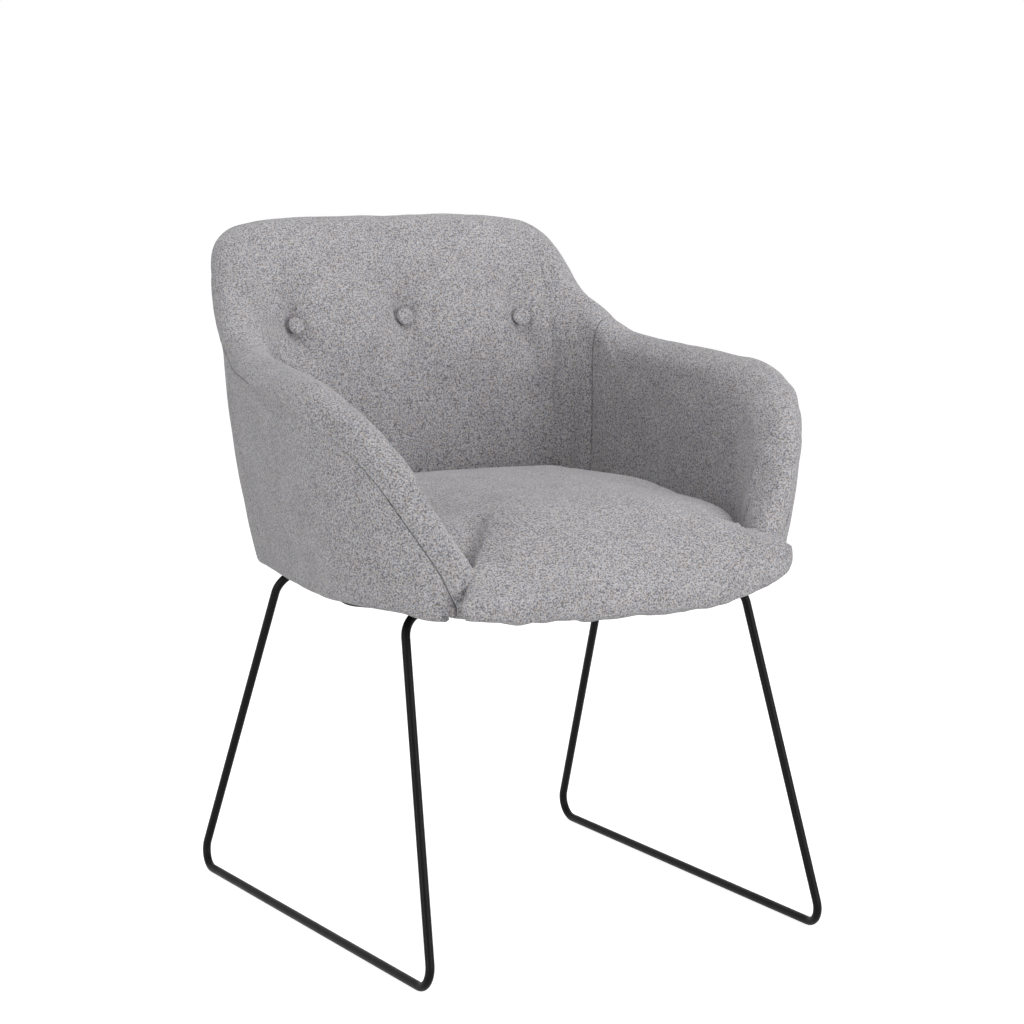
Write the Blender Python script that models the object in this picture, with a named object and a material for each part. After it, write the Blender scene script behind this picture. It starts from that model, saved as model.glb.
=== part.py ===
"""Upholstered tub armchair on a sled base bent from steel rod.

Metres, +Z up. The chair faces -Y, and the origin is on the floor under its middle. The tub is one padded
wall, bent round the sitter. A place on that wall is given by `run`, the distance along its plan curve from
the middle of the back, by its height, and by its depth from the wall's middle surface, positive outwards.
"""

import math

import bmesh
import bpy
from mathutils import Matrix, Vector

# Clearance between touching pieces
GAP = 0.0003

# Sled base: rod, runners on the floor, and the cross runs under the seat
ROD_DIAMETER = 0.010
ROD_SIDES = 10
RUNNER_FRONT = (0.2508, -0.3266)
RUNNER_REAR = (0.2562, 0.2784)
CROSS_HEIGHT = 0.390
CROSS_FRONT = (0.2180, -0.2016)
CROSS_REAR = (0.2245, 0.1029)
FLOOR_BEND = 0.022
TOP_BEND = 0.030
BEND_STEPS = 5

# Plates on the cross runs, and what bolts them to the seat board
PLATE_SPREAD = 0.120
PLATE_LENGTH = 0.044
PLATE_DEPTH = 0.032
PLATE_THICKNESS = 0.003
PLATE_CORNER = 0.005
PLATE_OVERHANG = 0.005
BOLT_DIAMETER = 0.006
BOLT_LENGTH = 0.013
BOLT_POINT = 0.0008
BOLT_HEAD = 0.0105
BOLT_HEAD_HEIGHT = 0.0033
BOLT_SOCKET = 0.004
BOLT_CROWN_SHARE = 0.62
NUT_BARREL = 0.009
NUT_FLANGE = 0.019
NUT_FLANGE_THICKNESS = 0.0015
HOLE_CLEARANCE = 0.0006

# Seat board, and the screws through the core into its edge
BOARD_THICKNESS = 0.012
BOARD_SETBACK = 0.035
BOARD_LAST_RUN = 0.650
SCREW_RUNS = (0.090, 0.340, 0.480, 0.610)
SCREW_DIAMETER = 0.004
SCREW_LENGTH = 0.028
SCREW_POINT = 0.005
SCREW_HEAD = 0.008
SCREW_HEAD_HEIGHT = 0.0025
SCREW_SINK = 0.0024
PANEL_CORNER = 0.006
PANEL_BOW = 0.115

# How far a cutter reaches past what it cuts
CUT_OVER = 0.012

# Plan of the wall's middle surface at PLAN_HEIGHT, as arcs from the middle of the back to the front of an
# arm. Each has its radius and the direction, in degrees, that the wall faces at its end: 0 is backwards and
# 90 sideways.
PLAN_HEIGHT = 0.600
BACK_DEPTH = 0.2309
PLAN_ARCS = ((0.750, 14.5), (0.070, 77.0), (1.880, 85.5), (0.200, 180.0))

# How the wall leans: outwards with height, more on the arms, curving in under the seat, and reclining at
# the top
FOOT_RISE = 0.006
FOOT_HEIGHT = CROSS_HEIGHT + FOOT_RISE
BACK_LEAN = 0.020
SIDE_LEAN = 0.1165
SIDE_LEAN_RUN = 0.354
TUCK_HEIGHT = 0.592
TUCK_IN = 0.01383
KNEE_HEIGHT = 0.641
KNEE_BLEND = 0.040
UPPER_LEAN = 0.743

# Wall: core, padding and cloth
CORE_THICKNESS = 0.009
BACK_THICKNESS = 0.060
ARM_THICKNESS = 0.048
CLOTH = 0.0015

# Rim, as (run, height, bend radius) corners from the middle of the back to the foot of the arm's front edge
RIM_FOOT = FOOT_HEIGHT - 0.003
RIM = (
    (0.0000, 0.7960, 0.000),
    (0.1000, 0.7945, 0.600),
    (0.2180, 0.7865, 0.042),
    (0.2690, 0.6610, 0.100),
    (0.6390, 0.6264, 0.217),
    (0.7944, RIM_FOOT, 0.0255),
    (0.7000, RIM_FOOT, 0.000),
)
RIM_BEND_STEPS = 24
RIM_END_TURN = 0.60
RIM_SQUARENESS = 0.50
SQUARE_EASE = 1.40
RIM_END_SHARE = 0.82
BAND_SHARE = 0.75
BACK_BAND = 0.034
ARM_BAND = 0.030
ARM_FOOT_RUN = 0.728
SEAM_RUN = 0.285
SEAM_FOOT_RUN = 0.300

# Buttons on the back, each in its own dimple
BUTTON_RUN = 0.160
BUTTON_HEIGHT = 0.6745
BUTTON_DIAMETER = 0.022
BUTTON_DOME = 0.0045
BUTTON_BACK = 0.0045
DIMPLE_DEPTH = 0.016
DIMPLE_REACH = 0.034
TIE_DIAMETER = 0.0024
TIE_KNOT = 0.005
WASHER_DIAMETER = 0.014
WASHER_THICKNESS = 0.0016
WASHER_LIFT = 0.0022

# Seat cushion. A front shoulder is how far it stands out from the foot of the arm and back from the front
# edge, and how straight the side runs on towards it. Each level of the side has a height share, a width share
# and its shoulder.
SEAT_CLEARANCE = 0.0030
SEAT_FRONT = -0.3351
SEAT_LIP_HANG = 0.0100
SEAT_THICKNESS = 0.0751
SEAT_CROWN = 0.0130
CROWN_POWER = 2.4
SEAT_WATERFALL = 0.0420
SEAT_WATERFALL_DEPTH = 0.1910
WATERFALL_POWER = 2.2
SEAT_LAST_RUN = 0.728
SEAT_CENTRE = -0.0691
SEAT_LIP_SHARE = 0.985
SEAT_LEVELS = (
    (0.00, 0.990, 0.0092, 0.0290, 0.044),
    (0.40, 1.000, 0.0242, 0.0250, 0.036),
    (0.75, 0.996, 0.0189, 0.0260, 0.028),
    (0.93, 0.975, 0.0124, 0.0290, 0.026),
)
SEAT_LIP_SHOULDER = (-0.0085, 0.0430, 0.044)
SEAT_TOP_SHARES = (0.92, 0.80, 0.58, 0.30)
SEAT_TOP_SHOULDER = (0.0032, 0.0340, 0.026)
SHOULDER_IN = (-0.012, 0.006)
SHOULDER_OUT = (0.001, -0.015)
SHOULDER_BOW = 0.130
SHARPEST_TURN = 0.5

# Dust cover
DUST_THICKNESS = 0.0015
DUST_INSET = 0.014
DUST_MARGIN = 0.016
DUST_LAST_RUN = 0.640
DUST_FRONT_INSET = 0.004
DUST_NOTCH = 0.018
DUST_NOTCH_DEPTH = 0.058
DUST_NOTCH_START = 0.034

# How finely the shapes are divided
BACK_RUNS = (0.0, 0.020, 0.055, 0.100, 0.138, 0.160)
CORNER_COLUMNS = 7
CORNER_FIRST = 0.020
ARM_COLUMNS = 10
RIM_STEPS = 4
DIMPLE_ROW = 0.078
ROWS_BELOW_DIMPLE = (0.138, 0.584, 1.0)
SEAT_RUNS = (0.0, 0.075, 0.150, 0.200, 0.225, 0.250, 0.275, 0.330, 0.430, 0.530, 0.600, 0.670)
SEAT_FRONT_STEPS = 4
PANEL_STEPS = 7

# Heights that follow from the stack of pieces under the seat
PLATE_BOTTOM = CROSS_HEIGHT + ROD_DIAMETER / 2 + GAP
PLATE_TOP = PLATE_BOTTOM + PLATE_THICKNESS
BOARD_BOTTOM = PLATE_TOP + GAP
BOARD_TOP = BOARD_BOTTOM + BOARD_THICKNESS
PAD_FOOT = BOARD_TOP + GAP
SEAT_LIP = FOOT_HEIGHT - SEAT_LIP_HANG
SEAT_TOP = PAD_FOOT + SEAT_THICKNESS

# Places that follow from the cushion's front edge
BOARD_FRONT = SEAT_FRONT + BOARD_SETBACK
SEAT_WATERFALL_START = SEAT_FRONT + SEAT_WATERFALL_DEPTH

# Depths of the wall's layers from its middle surface
CORE_FACE = CORE_THICKNESS / 2
PAD_INNER = CORE_FACE + GAP


def clear_scene():
    for item in list(bpy.data.objects):
        bpy.data.objects.remove(item, do_unlink=True)


def material(name, colour, roughness, metallic=0.0):
    made = bpy.data.materials.new(name)
    made.use_nodes = True
    shader = made.node_tree.nodes["Principled BSDF"]
    shader.inputs["Base Color"].default_value = (*colour, 1.0)
    shader.inputs["Roughness"].default_value = roughness
    shader.inputs["Metallic"].default_value = metallic
    made.diffuse_color = (*colour, 1.0)
    return made


def face_outwards(mesh_data):
    bmesh.ops.recalc_face_normals(mesh_data, faces=mesh_data.faces)
    if mesh_data.calc_volume(signed=True) < 0.0:
        bmesh.ops.reverse_faces(mesh_data, faces=mesh_data.faces)


def finished_mesh(name, mesh_data, finish, smooth_angle):
    bmesh.ops.remove_doubles(mesh_data, verts=mesh_data.verts, dist=1e-6)
    bmesh.ops.triangulate(mesh_data, faces=[f for f in mesh_data.faces if len(f.verts) > 4])
    face_outwards(mesh_data)
    mesh = bpy.data.meshes.new(name)
    mesh_data.to_mesh(mesh)
    mesh_data.free()
    mesh.shade_smooth()
    mesh.set_sharp_from_angle(angle=math.radians(smooth_angle))
    if finish:
        mesh.materials.append(finish)
    return mesh


def link_object(name, mesh):
    made = bpy.data.objects.new(name, mesh)
    bpy.context.scene.collection.objects.link(made)
    return made


def add_object(name, mesh_data, finish, smooth_angle=40.0):
    """Turns a bmesh into a named object with outward faces."""
    return link_object(name, finished_mesh(name, mesh_data, finish, smooth_angle))


def add_copies(kind, frames, mesh_data, finish):
    """One mesh, shown once for each (word, frame) under the name kind_word."""
    mesh = finished_mesh(kind, mesh_data, finish, 40.0)
    for word, frame in frames:
        link_object(f"{kind}_{word}", mesh).matrix_world = frame


def cut(target, cutter_data, name):
    """Takes the shapes in cutter_data away from target."""
    cutter = add_object(name, cutter_data, None)
    cutter.hide_render = True
    cutter.display_type = "WIRE"
    step = target.modifiers.new(name, "BOOLEAN")
    step.operation = "DIFFERENCE"
    step.solver = "EXACT"
    step.object = cutter


def join_rings(mesh_data, rings, turned_back=None, closed_path=False):
    """Joins rings of equal length with pairs of triangles and returns their vertices.

    From the point `turned_back` on, a ring runs back the way it came. There the other diagonal is used,
    so that the faces of parallel layers stay parallel. The step that closes the ring matches the end of
    a layer that stops where this one starts.
    """
    made = [[mesh_data.verts.new(point) for point in ring] for ring in rings]
    pairs = list(zip(made, made[1:]))
    if closed_path:
        pairs.append((made[-1], made[0]))
    for first, second in pairs:
        count = len(first)
        for i in range(count):
            j = (i + 1) % count
            if turned_back is None or i < turned_back or j == 0:
                mesh_data.faces.new((first[i], first[j], second[j]))
                mesh_data.faces.new((first[i], second[j], second[i]))
            else:
                mesh_data.faces.new((first[i], first[j], second[i]))
                mesh_data.faces.new((first[j], second[j], second[i]))
    return made


def loft(rings, mesh_data=None):
    """A solid through closed rings, with caps at both ends."""
    mesh_data = mesh_data or bmesh.new()
    made = join_rings(mesh_data, rings)
    mesh_data.faces.new(made[0])
    mesh_data.faces.new(made[-1])
    return mesh_data


def layer(pairs):
    """A solid layer through sections, each a pair of paths of equal length along its two faces."""
    mesh_data = bmesh.new()
    count = len(pairs[0][0])
    made = join_rings(mesh_data, [outer + inner[::-1] for outer, inner in pairs], turned_back=count - 1)
    for end in (made[0], made[-1]):
        for k in range(count - 1):
            mesh_data.faces.new((end[k], end[k + 1], end[-k - 2], end[-k - 1]))
    return mesh_data


def turned(profile, segments, place=None, closed=False, sixsided=(), mesh_data=None):
    """Revolves (radius, height) points about the Z axis of the matrix `place`.

    Points on the axis become poles. The points numbered in `sixsided` get a hexagonal outline.
    """
    mesh_data = mesh_data or bmesh.new()
    place = place or Matrix()
    rows = []
    for number, (radius, height) in enumerate(profile):
        if radius == 0.0:
            rows.append([mesh_data.verts.new(place @ Vector((0.0, 0.0, height)))])
            continue
        row = []
        for k in range(segments):
            angle = math.tau * k / segments
            reach = radius
            if number in sixsided:
                reach = radius / math.cos((angle + math.pi / 6) % (math.pi / 3) - math.pi / 6)
            point = Vector((reach * math.cos(angle), reach * math.sin(angle), height))
            row.append(mesh_data.verts.new(place @ point))
        rows.append(row)
    pairs = list(zip(rows, rows[1:]))
    if closed:
        pairs.append((rows[-1], rows[0]))
    for first, second in pairs:
        for k in range(segments):
            n = (k + 1) % segments
            if len(first) == 1:
                mesh_data.faces.new((first[0], second[n], second[k]))
            elif len(second) == 1:
                mesh_data.faces.new((first[k], first[n], second[0]))
            else:
                mesh_data.faces.new((first[k], first[n], second[n], second[k]))
    return mesh_data


def filleted_path(corners, radii, steps):
    """Points along straight runs whose corners are rounded, in any number of dimensions."""
    corners = [Vector(corner) for corner in corners]
    points = [corners[0]]
    for before, corner, after, radius in zip(corners, corners[1:], corners[2:], radii[1:]):
        back = (before - corner).normalized()
        ahead = (after - corner).normalized()
        half = back.angle(ahead) / 2
        middle = (back + ahead).normalized()
        centre = corner + middle * (radius / math.sin(half))
        start = corner + back * (radius / math.tan(half))
        sweep = math.pi - 2 * half
        arm = start - centre
        for k in range(steps + 1):
            angle = sweep * k / steps
            points.append(centre + arm * math.cos(angle) - back * (radius * math.sin(angle)))
    points.append(corners[-1])
    return points


def bezier(first, second, third, last, t):
    rest = 1.0 - t
    return first * rest**3 + second * (3 * rest**2 * t) + third * (3 * rest * t**2) + last * t**3


def smooth_step(value):
    value = min(1.0, max(0.0, value))
    return value * value * (3.0 - 2.0 * value)


# The wall's middle surface


def plan(run):
    """Point and outward normal of the plan curve at a distance `run` from the middle of the back."""
    side = -1.0 if run < 0.0 else 1.0
    rest = abs(run)
    angle = 0.0
    radius, end = PLAN_ARCS[0]
    centre = Vector((0.0, BACK_DEPTH - radius))
    for next_radius, next_end in PLAN_ARCS[1:]:
        length = radius * (math.radians(end) - angle)
        if rest <= length:
            break
        rest -= length
        angle = math.radians(end)
        centre += Vector((math.sin(angle), math.cos(angle))) * (radius - next_radius)
        radius, end = next_radius, next_end
    angle += rest / radius
    across, along = math.sin(angle), math.cos(angle)
    return (
        Vector((side * (centre.x + radius * across), centre.y + radius * along, 0.0)),
        Vector((side * across, along, 0.0)),
    )


def corner_run():
    """The run at which the wall has turned its back corner."""
    (back, first), (corner, second) = PLAN_ARCS[:2]
    return back * math.radians(first) + corner * math.radians(second - first)


CORNER_RUN = corner_run()


def recline(height):
    """How far the wall reclines above its knee at a height, and how steeply."""
    rise = max(0.0, height - KNEE_HEIGHT)
    lean = UPPER_LEAN - BACK_LEAN
    reach = lean * rise**2 / (rise + KNEE_BLEND)
    return reach, lean * rise * (rise + 2 * KNEE_BLEND) / (rise + KNEE_BLEND) ** 2


def wall(run, height, depth):
    """A point on the wall, `depth` outside its middle surface."""
    foot, normal = plan(run)
    lean = BACK_LEAN + (SIDE_LEAN - BACK_LEAN) * smooth_step(abs(run) / SIDE_LEAN_RUN)
    offset = lean * (height - PLAN_HEIGHT)
    offset -= TUCK_IN * (max(0.0, TUCK_HEIGHT - height) / (TUCK_HEIGHT - FOOT_HEIGHT)) ** 2
    back, slope = recline(height)
    across = Vector((normal.x, normal.y, -slope * normal.y)).normalized()
    return foot + normal * offset + Vector((0.0, back, height)) + across * depth


def half_thickness(run):
    """Half the finished wall: thicker on the back than on the arms."""
    blend = smooth_step((abs(run) - BUTTON_RUN) / (CORNER_RUN - BUTTON_RUN))
    return (BACK_THICKNESS + (ARM_THICKNESS - BACK_THICKNESS) * blend) / 2


# The rim, and the lines that run down the wall from it


class Rim:
    """The rim as a path in (run, height), read by the distance along it."""

    def __init__(self):
        corners = [(run, height) for run, height, _ in RIM]
        radii = [radius for _, _, radius in RIM[:-1]]
        path = filleted_path(corners, radii, RIM_BEND_STEPS)
        last_bend = len(path) - 1 - (RIM_BEND_STEPS + 1)
        self.points = path[: last_bend + round(RIM_BEND_STEPS * RIM_END_TURN) + 1]
        self.marks = [0.0]
        for first, second in zip(self.points, self.points[1:]):
            self.marks.append(self.marks[-1] + (second - first).length)
        self.length = self.marks[-1]

    def place(self, distance):
        """Point at this distance and the unit direction of travel there."""
        k = 0
        while k < len(self.marks) - 2 and self.marks[k + 1] < distance:
            k += 1
        step = self.points[k + 1] - self.points[k]
        share = (distance - self.marks[k]) / step.length
        return self.points[k] + step * share, step.normalized()

    def distance_at_run(self, run):
        """Where the rim first reaches this run."""
        for first, second, mark in zip(self.points, self.points[1:], self.marks):
            if first.x <= run <= second.x:
                return mark + (run - first.x) / (second.x - first.x) * (second - first).length
        return self.length


RIM_PATH = Rim()
BUTTON_MARK = RIM_PATH.distance_at_run(BUTTON_RUN)
SEAM_MARK = RIM_PATH.distance_at_run(SEAM_RUN)


class Column:
    """One line down the wall: from the rim straight in across the band, then in a curve to the foot."""

    def __init__(self, mark, side):
        self.side = side
        self.mark = mark
        self.top, heading = RIM_PATH.place(mark)
        corner = min(1.0, max(0.0, (mark - BUTTON_MARK) / (SEAM_MARK - BUTTON_MARK)))
        arm = max(0.0, (mark - SEAM_MARK) / (RIM_PATH.length - SEAM_MARK))
        foot_run = min(self.top.x, BUTTON_RUN)
        foot_run += (SEAM_FOOT_RUN - BUTTON_RUN) * corner + (ARM_FOOT_RUN - SEAM_FOOT_RUN) * arm
        self.foot = Vector((foot_run, PAD_FOOT))
        reach = self.foot - self.top
        end = smooth_step((mark / RIM_PATH.length - RIM_END_SHARE) / (1.0 - RIM_END_SHARE))
        share = RIM_SQUARENESS * smooth_step(2 * corner) * (1.0 - end)
        square = Vector((heading.y, -heading.x))
        self.inward = (square * share + reach.normalized() * (1.0 - share)).normalized()
        self.pull = (1.0 - SQUARE_EASE * share) / 3
        band = BACK_BAND + (ARM_BAND - BACK_BAND) * corner
        self.band = min(band, BAND_SHARE * reach.length)

    def at_drop(self, drop):
        return self.top + self.inward * drop

    def at_row(self, row):
        """A place between the seam (0) and the foot (1)."""
        start = self.at_drop(self.band)
        reach = (self.foot - start).length
        above_foot = self.foot + Vector((0.0, reach / 3))
        return bezier(start, start + self.inward * (reach * self.pull), above_foot, self.foot, row)

    def point(self, place, depth):
        return wall(self.side * place.x, place.y, depth)

    def half(self):
        return half_thickness(self.top.x)


BUTTON_ROW = (RIM[0][1] - BACK_BAND - BUTTON_HEIGHT) / (RIM[0][1] - BACK_BAND - PAD_FOOT)
DIMPLE_ROWS = tuple(BUTTON_ROW + DIMPLE_ROW * step for step in (-2, -1, 0, 1))
LOWER_ROWS = tuple(DIMPLE_ROWS[-1] + (1.0 - DIMPLE_ROWS[-1]) * share for share in ROWS_BELOW_DIMPLE)
OUTER_ROWS = (0.0, BUTTON_ROW / 2, BUTTON_ROW) + LOWER_ROWS
INNER_ROWS = (0.0,) + DIMPLE_ROWS + LOWER_ROWS
BUTTON_PLACES = [Column(mark, 1.0).at_row(BUTTON_ROW) for mark in (0.0, BUTTON_MARK)]


def dimple(place):
    """How far the padding is drawn in at a place on the back."""
    reach = min((place - button).length for button in BUTTON_PLACES)
    return DIMPLE_DEPTH * math.exp(-((reach / DIMPLE_REACH) ** 2))


def column_marks():
    """Distances along the rim of the columns: those of half the back, then those of one arm."""
    back = [RIM_PATH.distance_at_run(run) for run in BACK_RUNS]
    first = back[-1] + CORNER_FIRST
    for k in range(CORNER_COLUMNS):
        back.append(first + (SEAM_MARK - first) * k / (CORNER_COLUMNS - 1))
    arm = []
    for k in range(ARM_COLUMNS + 1):
        arm.append(SEAM_MARK + (RIM_PATH.length - SEAM_MARK) * k / ARM_COLUMNS)
    return back, arm


BACK_MARKS, ARM_MARKS = column_marks()


def columns_at(marks, side):
    """Columns in the order in which they stand from left to right."""
    made = [Column(mark, side) for mark in marks]
    return made if side > 0.0 else made[::-1]


def back_columns():
    return columns_at(BACK_MARKS[1:], -1.0) + columns_at(BACK_MARKS, 1.0)


def arm_columns(side):
    """An arm's columns. The first stands a gap away from the seam."""
    return columns_at([ARM_MARKS[0] + GAP] + ARM_MARKS[1:], side)


# Sections through the wall, as paths up its inner face, over the rim and down its outer face


def inner_path(column, depth, dimpled=False):
    points = []
    for row in reversed(INNER_ROWS):
        place = column.at_row(row)
        points.append(column.point(place, (dimple(place) if dimpled else 0.0) - depth))
    return points


def rim_path(column, depth):
    centre = column.half()
    points = []
    for k in range(RIM_STEPS + 1):
        angle = math.pi * k / RIM_STEPS
        place = column.at_drop(centre - depth * math.sin(angle))
        points.append(column.point(place, -depth * math.cos(angle)))
    return points


def outer_path(column, depth):
    return [column.point(column.at_row(row), depth) for row in OUTER_ROWS]


def foot_point(column, depth, height):
    return column.point(Vector((column.foot.x, height)), depth)


def inside_path(column, depth, dimpled=False):
    """From the foot inside, over the rim, to the outer seam."""
    path = inner_path(column, depth, dimpled) + rim_path(column, depth)
    return path + [column.point(column.at_row(0.0), depth)]


def outside_path(column, depth):
    """From just below the outer seam to the lower foot outside."""
    start = column.at_drop(column.band + GAP)
    path = [column.point(start, depth)] + outer_path(column, depth)[1:]
    return path + [foot_point(column, depth, FOOT_HEIGHT)]


def make_core(finish):
    columns = columns_at(ARM_MARKS[1:], -1.0) + back_columns() + columns_at(ARM_MARKS[1:], 1.0)
    rings = []
    for column in columns:
        ring = [foot_point(column, -CORE_FACE, BOARD_BOTTOM)]
        ring += inner_path(column, CORE_FACE) + rim_path(column, CORE_FACE) + outer_path(column, CORE_FACE)
        ring += [foot_point(column, CORE_FACE, BOARD_BOTTOM)]
        rings.append(ring)
    return add_object("tub_shell", loft(rings), finish)


def cloth_depths(column):
    return column.half(), column.half() - CLOTH


def pad_depths(column):
    """The padding fills the space between the cloth and the core."""
    return column.half() - CLOTH - GAP, PAD_INNER


def make_inside(name, columns, depths, dimpled, finish):
    """A layer over the inner face and the rim, down to the outer seam."""
    sections = []
    for column in columns:
        face, under = depths(column)
        flat = depths is pad_depths
        sections.append((inside_path(column, face, dimpled), inside_path(column, under, dimpled and not flat)))
    return add_object(name, layer(sections), finish)


def make_outside(name, columns, depths, finish):
    """A layer over the outer face, from the seam to the foot."""
    sections = []
    for column in columns:
        face, under = depths(column)
        sections.append((outside_path(column, face), outside_path(column, under)))
    return add_object(name, layer(sections), finish)


# The board, the seat and what fastens them


def closed_outline(right, middle):
    """A symmetric outline from its right half and the point in the middle of its front."""
    left = [Vector((-point.x, point.y, point.z)) for point in right[:0:-1]]
    return right + [middle] + left


def heading_at(run):
    """Direction in which the wall runs forwards."""
    normal = plan(run)[1]
    return Vector((normal.y, -normal.x, 0.0))


def panel_outline(height, depth_at, last_run, front):
    """An outline that follows the wall and closes with a bowed front."""
    runs = [Column(mark, 1.0).foot.x for mark in BACK_MARKS + ARM_MARKS[1:]]
    runs = [run for run in runs if run < last_run]
    right = [wall(run, height, depth_at(run)) for run in runs]
    corner = right[-1]
    middle = Vector((0.0, front, height))
    first = corner + heading_at(runs[-1]) * PANEL_CORNER
    second = middle + Vector((PANEL_BOW, 0.0, 0.0))
    for k in range(1, PANEL_STEPS):
        right.append(bezier(corner, first, second, middle, k / PANEL_STEPS))
    return closed_outline(right, middle)


def board_ring(height, grow=0.0):
    return panel_outline(height, lambda run: grow - PAD_INNER, BOARD_LAST_RUN, BOARD_FRONT - grow)


def bolt_frames():
    """Where the bolts stand: a pair on the front cross run and a pair on the rear one."""
    inset = PLATE_DEPTH / 2 - PLATE_OVERHANG + ROD_DIAMETER / 2
    frames = []
    for word, y in (("front", CROSS_FRONT[1] + inset), ("rear", CROSS_REAR[1] - inset)):
        for side, hand in ((-1.0, "left"), (1.0, "right")):
            frames.append((f"{word}_{hand}", Matrix.Translation((side * PLATE_SPREAD, y, 0.0))))
    return frames


def screw_frames():
    """Frames on the core's outer face, level with the board, with Z pointing inwards."""
    height = (BOARD_BOTTOM + BOARD_TOP) / 2
    frames = []
    for run in [-run for run in reversed(SCREW_RUNS)] + list(SCREW_RUNS):
        inward = -plan(run)[1]
        turn = inward.to_track_quat("Z", "Y").to_matrix().to_4x4()
        start = wall(run, height, CORE_FACE) + inward * SCREW_SINK
        frames.append((len(frames) + 1, Matrix.Translation(start) @ turn))
    return frames


def turned_at(frames, profile, segments):
    """The same turned shape at several frames, as one cutter. Its flats lie at the radii of the profile."""
    profile = [(radius / math.cos(math.pi / segments), height) for radius, height in profile]
    holes = bmesh.new()
    for _, frame in frames:
        turned(profile, segments, frame, mesh_data=holes)
    return holes


def make_board(finish):
    board = add_object("seat_board", loft([board_ring(BOARD_BOTTOM), board_ring(BOARD_TOP)]), finish)
    barrel = NUT_BARREL / 2 + GAP
    flange = NUT_FLANGE / 2 + GAP
    recess = BOARD_TOP - NUT_FLANGE_THICKNESS - 2 * GAP
    profile = [
        (0.0, BOARD_BOTTOM - CUT_OVER),
        (barrel, BOARD_BOTTOM - CUT_OVER),
        (barrel, recess),
        (flange, recess),
        (flange, BOARD_TOP + CUT_OVER),
        (0.0, BOARD_TOP + CUT_OVER),
    ]
    cut(board, turned_at(bolt_frames(), profile, 12), "nut_hole_cutter")
    pilot = SCREW_DIAMETER / 2 + GAP
    deep = SCREW_LENGTH + GAP
    profile = [(0.0, 0.0), (pilot, 0.0), (pilot, deep), (0.0, deep)]
    cut(board, turned_at(screw_frames(), profile, 8), "pilot_cutter")


def make_screws(finish):
    shank, head = SCREW_DIAMETER / 2, SCREW_HEAD / 2
    profile = [
        (0.0, 0.0),
        (head, 0.0),
        (head, SCREW_HEAD_HEIGHT),
        (shank, SCREW_HEAD_HEIGHT),
        (shank, SCREW_LENGTH - SCREW_POINT),
        (0.0, SCREW_LENGTH),
    ]
    add_copies("shell_screw", screw_frames(), turned(profile, 8), finish)


def seat_fall(y):
    """How far the cushion has dropped towards its front."""
    reach = (SEAT_WATERFALL_START - y) / (SEAT_WATERFALL_START - SEAT_FRONT)
    return SEAT_WATERFALL * max(0.0, reach) ** WATERFALL_POWER


def side_height(level, y, inset):
    """Height of the cushion's side at a share of it, `inset` below the cloth's face."""
    return PAD_FOOT + (SEAT_TOP - seat_fall(y) - inset - PAD_FOOT) * level


def seat_outline(shoulder, height_at):
    """The cushion's outline: along the wall, round the foot of the arm to a shoulder, and across the front."""
    right = []
    for run in SEAT_RUNS + (SEAT_LAST_RUN,):
        reach = half_thickness(run) + SEAT_CLEARANCE
        right.append(wall(run, height_at(wall(run, SEAT_TOP, -reach).y), -reach))
    start = right[-1]
    corner = Vector((start.x + shoulder[0], SEAT_FRONT + shoulder[1], 0.0))
    middle = Vector((0.0, SEAT_FRONT, 0.0))
    ahead = start + heading_at(SEAT_LAST_RUN) * shoulder[2]
    arriving = corner + Vector((*SHOULDER_IN, 0.0))
    leaving = corner + Vector((*SHOULDER_OUT, 0.0))
    bow = middle + Vector((SHOULDER_BOW, 0.0, 0.0))
    # The second curve is divided more finely near the shoulder, which is rounded.
    for points, spacing in (((start, ahead, arriving, corner), 1), ((corner, leaving, bow, middle), 2)):
        for k in range(1, SEAT_FRONT_STEPS + 1):
            point = bezier(*points, (k / SEAT_FRONT_STEPS) ** spacing)
            right.append(Vector((point.x, point.y, height_at(point.y))))
    return closed_outline(right[:-1], right[-1])


def drawn_in(outline, share, inset):
    """An outline shrunk towards the cushion's middle and then moved inwards by `inset`."""
    ring = [Vector((p.x * share, SEAT_CENTRE + (p.y - SEAT_CENTRE) * share, p.z)) for p in outline]
    count = len(ring)
    moved = []
    for k, point in enumerate(ring):
        before = (point - ring[k - 1]).xy.normalized()
        after = (ring[(k + 1) % count] - point).xy.normalized()
        along = (before + after).normalized()
        reach = inset / max(along.dot(after), SHARPEST_TURN)
        moved.append(point + Vector((along.y * reach, -along.x * reach, 0.0)))
    return moved


def seat_rings(inset, lip):
    """Rings of the cushion's surface, from its lip up the sides and over the crown."""
    outline = seat_outline(SEAT_LIP_SHOULDER, lambda y: lip)
    rings = [drawn_in(outline, SEAT_LIP_SHARE, inset)]
    for level, share, *shoulder in SEAT_LEVELS:
        outline = seat_outline(shoulder, lambda y: side_height(level, y, inset))
        rings.append(drawn_in(outline, share, inset))
    edge = seat_outline(SEAT_TOP_SHOULDER, lambda y: SEAT_TOP)
    for share in SEAT_TOP_SHARES:
        crown = SEAT_CROWN * (1.0 - share**CROWN_POWER)
        ring = []
        for face, point in zip(drawn_in(edge, share, 0.0), drawn_in(edge, share, inset)):
            ring.append(Vector((point.x, point.y, SEAT_TOP + crown - seat_fall(face.y) - inset)))
        rings.append(ring)
    return rings


def add_surface(mesh_data, rings):
    """Joined rings closed at the middle with a pole. Returns the first ring's vertices."""
    made = join_rings(mesh_data, rings)
    top = mesh_data.verts.new(sum(rings[-1], Vector()) / len(rings[-1]))
    last = made[-1]
    for k, vert in enumerate(last):
        mesh_data.faces.new((vert, last[(k + 1) % len(last)], top))
    return made[0]


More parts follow.
